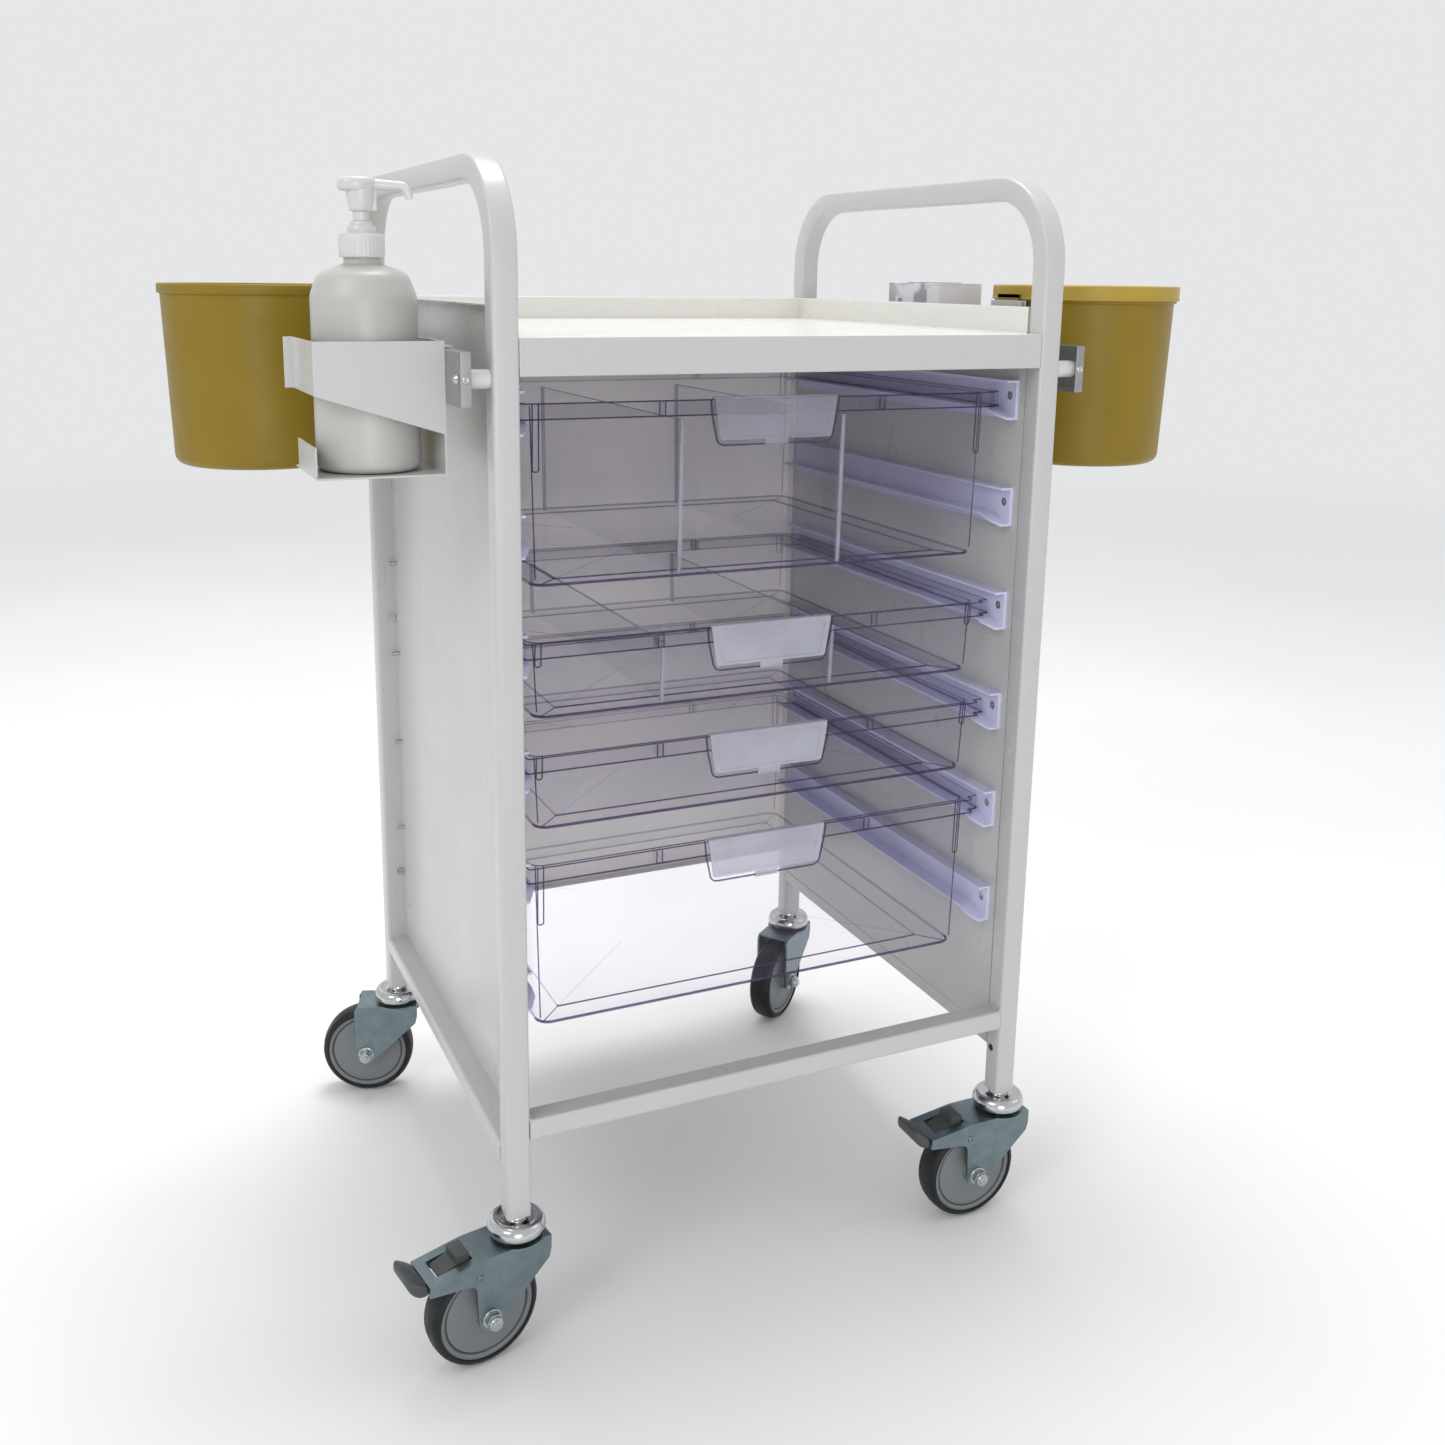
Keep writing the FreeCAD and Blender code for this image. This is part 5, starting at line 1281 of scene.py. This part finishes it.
def place_camera():
    """Camera low at the front left, looking a little down."""
    yaw, pitch, roll = 0.4263262, 0.2148213, 0.0126837
    forward = Vector((math.sin(yaw) * math.cos(pitch), math.cos(yaw) * math.cos(pitch), -math.sin(pitch)))
    level = Vector((math.cos(yaw), -math.sin(yaw), 0.0))
    above = level.cross(forward)
    right = level * math.cos(roll) + above * math.sin(roll)
    up = above * math.cos(roll) - level * math.sin(roll)
    data = bpy.data.cameras.new("camera")
    data.lens = 1459.351 / 1445 * 36
    data.shift_x = (722.5 - 700.270) / 1445
    data.shift_y = (594.244 - 722.5) / 1445
    data.clip_start = 0.05
    holder = bpy.data.objects.new("camera", data)
    corner = Vector((frame_corner_x(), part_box("left_hoop")[0].y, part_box("left_hoop")[0].z))
    turn = Matrix((right, up, -forward)).transposed().to_4x4()
    holder.matrix_world = Matrix.Translation(corner + Vector((-0.295972, -1.011736, 0.748370))) @ turn
    bpy.context.scene.collection.objects.link(holder)
    bpy.context.scene.camera = holder


def frame_corner_x():
    """Outer face of the left posts."""
    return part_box("left_hoop")[0].x


# ---------------------------------------------------------------- operators and panel
class CART_OT_tubes(bpy.types.Operator):
    """Build the hoops, weld beads and plug, and coat the lower rails"""

    bl_idname = "cart.tubes"
    bl_label = "Tubes"

    def execute(self, context):
        edge = context.scene.cart_sizes.metal_edge
        build_hoops()
        build_welds()
        build_post_plug()
        coat_node("front_rail", "white_coat", 0.0)
        coat_node("side_rails", "white_coat", 0.0)
        coat_node("post_inserts", "black_plug", edge)
        return {"FINISHED"}


class CART_OT_sheet(bpy.types.Operator):
    """Coat the deck and panels and finish their screws"""

    bl_idname = "cart.sheet"
    bl_label = "Deck and panels"

    def execute(self, context):
        edge = context.scene.cart_sizes.sheet_edge
        for node in ("deck", "left_side_panel", "right_side_panel"):
            coat_node(node, "white_coat", edge)
        # Painted light: the deck's upper and rear faces get the lighter deck coat.
        paint_deck_light()
        # Painted light: the back panel gets a much lighter copy of the white coat.
        coat_node("back_panel", "back_panel_lit_coat", edge)
        coat_node("panel_screws", "screw_steel", 0.0)
        return {"FINISHED"}


class CART_OT_runners(bpy.types.Operator):
    """Finish the tray runners and their screws"""

    bl_idname = "cart.runners"
    bl_label = "Runners"

    def execute(self, context):
        edge = context.scene.cart_sizes.plastic_edge
        # The runners' violet cast is painted light from the trays.
        coat_node("left_runners", "runner_white_with_tray_cast", edge)
        coat_node("right_runners", "runner_white_with_tray_cast", edge)
        coat_node("runner_screws", "screw_steel", 0.0)
        return {"FINISHED"}


class CART_OT_trays(bpy.types.Operator):
    """Build the clear trays with their cross plates and label holders"""

    bl_idname = "cart.trays"
    bl_label = "Trays"

    def execute(self, context):
        edge = context.scene.cart_sizes.plastic_edge
        for number in TRAYS:
            build_tray(number)
            finish = "label_clear" if number == 1 else "label_frosted"
            coat_node("tray_%d_label_holder" % number, finish, edge * 0.6)
        for number in (1, 2):
            build_dividers(number)
        return {"FINISHED"}


class CART_OT_casters(bpy.types.Operator):
    """Build the wheels, cups, axle bolts and pedals and finish the forks"""

    bl_idname = "cart.casters"
    bl_label = "Casters"

    def execute(self, context):
        for caster in CASTERS:
            build_wheel(caster)
            build_cup(caster)
            build_caster_trim(caster)
            coat_node(caster + "_fork", "zinc_steel", FORK_EDGE)
            build_axle(caster)
            if caster + "_brake_pedal" in frame["nodes"]:
                build_pedal(caster)
        return {"FINISHED"}


class CART_OT_rails(bpy.types.Operator):
    """Finish the accessory rails, their spacers and bolts, and the sheet holders"""

    bl_idname = "cart.rails"
    bl_label = "Accessory rails"

    def execute(self, context):
        sizes = context.scene.cart_sizes
        for node in ("left_accessory_rail", "right_accessory_rail"):
            coat_node(node, "rail_aluminium", RAIL_EDGE)
        build_rail_caps()
        coat_node("rail_standoffs", "spacer_white", sizes.plastic_edge)
        coat_node("rail_bolts", "screw_steel", BOLT_EDGE)
        for node in ("bottle_holder", "bin_brackets", "carton_holder"):
            coat_node(node, "white_coat", RAIL_EDGE)
        return {"FINISHED"}


class CART_OT_bottle(bpy.types.Operator):
    """Build the pump bottle"""

    bl_idname = "cart.bottle"
    bl_label = "Pump bottle"

    def execute(self, context):
        build_bottle()
        build_collar()
        build_pump()
        return {"FINISHED"}


class CART_OT_tubs(bpy.types.Operator):
    """Build the waste tubs and the lid"""

    bl_idname = "cart.tubs"
    bl_label = "Waste tubs"

    def execute(self, context):
        build_tub("left")
        build_tub("right")
        build_lid()
        return {"FINISHED"}


class CART_OT_carton(bpy.types.Operator):
    """Build the carton"""

    bl_idname = "cart.carton"
    bl_label = "Carton"

    def execute(self, context):
        build_carton()
        return {"FINISHED"}


class CART_OT_stage(bpy.types.Operator):
    """Set the floor, the lights and the camera"""

    bl_idname = "cart.stage"
    bl_label = "Stage"

    def execute(self, context):
        build_stage()
        return {"FINISHED"}


OPERATORS = (
    CART_OT_tubes, CART_OT_sheet, CART_OT_runners, CART_OT_trays, CART_OT_casters,
    CART_OT_rails, CART_OT_bottle, CART_OT_tubs, CART_OT_carton, CART_OT_stage,
)


class CART_PT_panel(bpy.types.Panel):
    """Lists the steps that build the cart"""

    bl_idname = "CART_PT_panel"
    bl_label = "Instrument Cart"
    bl_space_type = "VIEW_3D"
    bl_region_type = "UI"
    bl_category = "Cart"

    def draw(self, context):
        for operator in OPERATORS:
            self.layout.operator(operator.bl_idname)
        for group in (context.scene.cart_sizes, context.scene.cart_colours):
            box = self.layout.box()
            for key in group.__annotations__:
                box.prop(group, key)


CLASSES = (CartSizes, CartColours, *OPERATORS, CART_PT_panel)


def register():
    for item in CLASSES:
        bpy.utils.register_class(item)
    bpy.types.Scene.cart_sizes = bpy.props.PointerProperty(type=CartSizes)
    bpy.types.Scene.cart_colours = bpy.props.PointerProperty(type=CartColours)


def unregister():
    del bpy.types.Scene.cart_colours
    del bpy.types.Scene.cart_sizes
    for item in reversed(CLASSES):
        bpy.utils.unregister_class(item)


def main():
    """Build everything in order."""
    register()
    for operator in OPERATORS:
        group, name = operator.bl_idname.split(".")
        getattr(getattr(bpy.ops, group), name)()


if __name__ == "__main__":
    main()
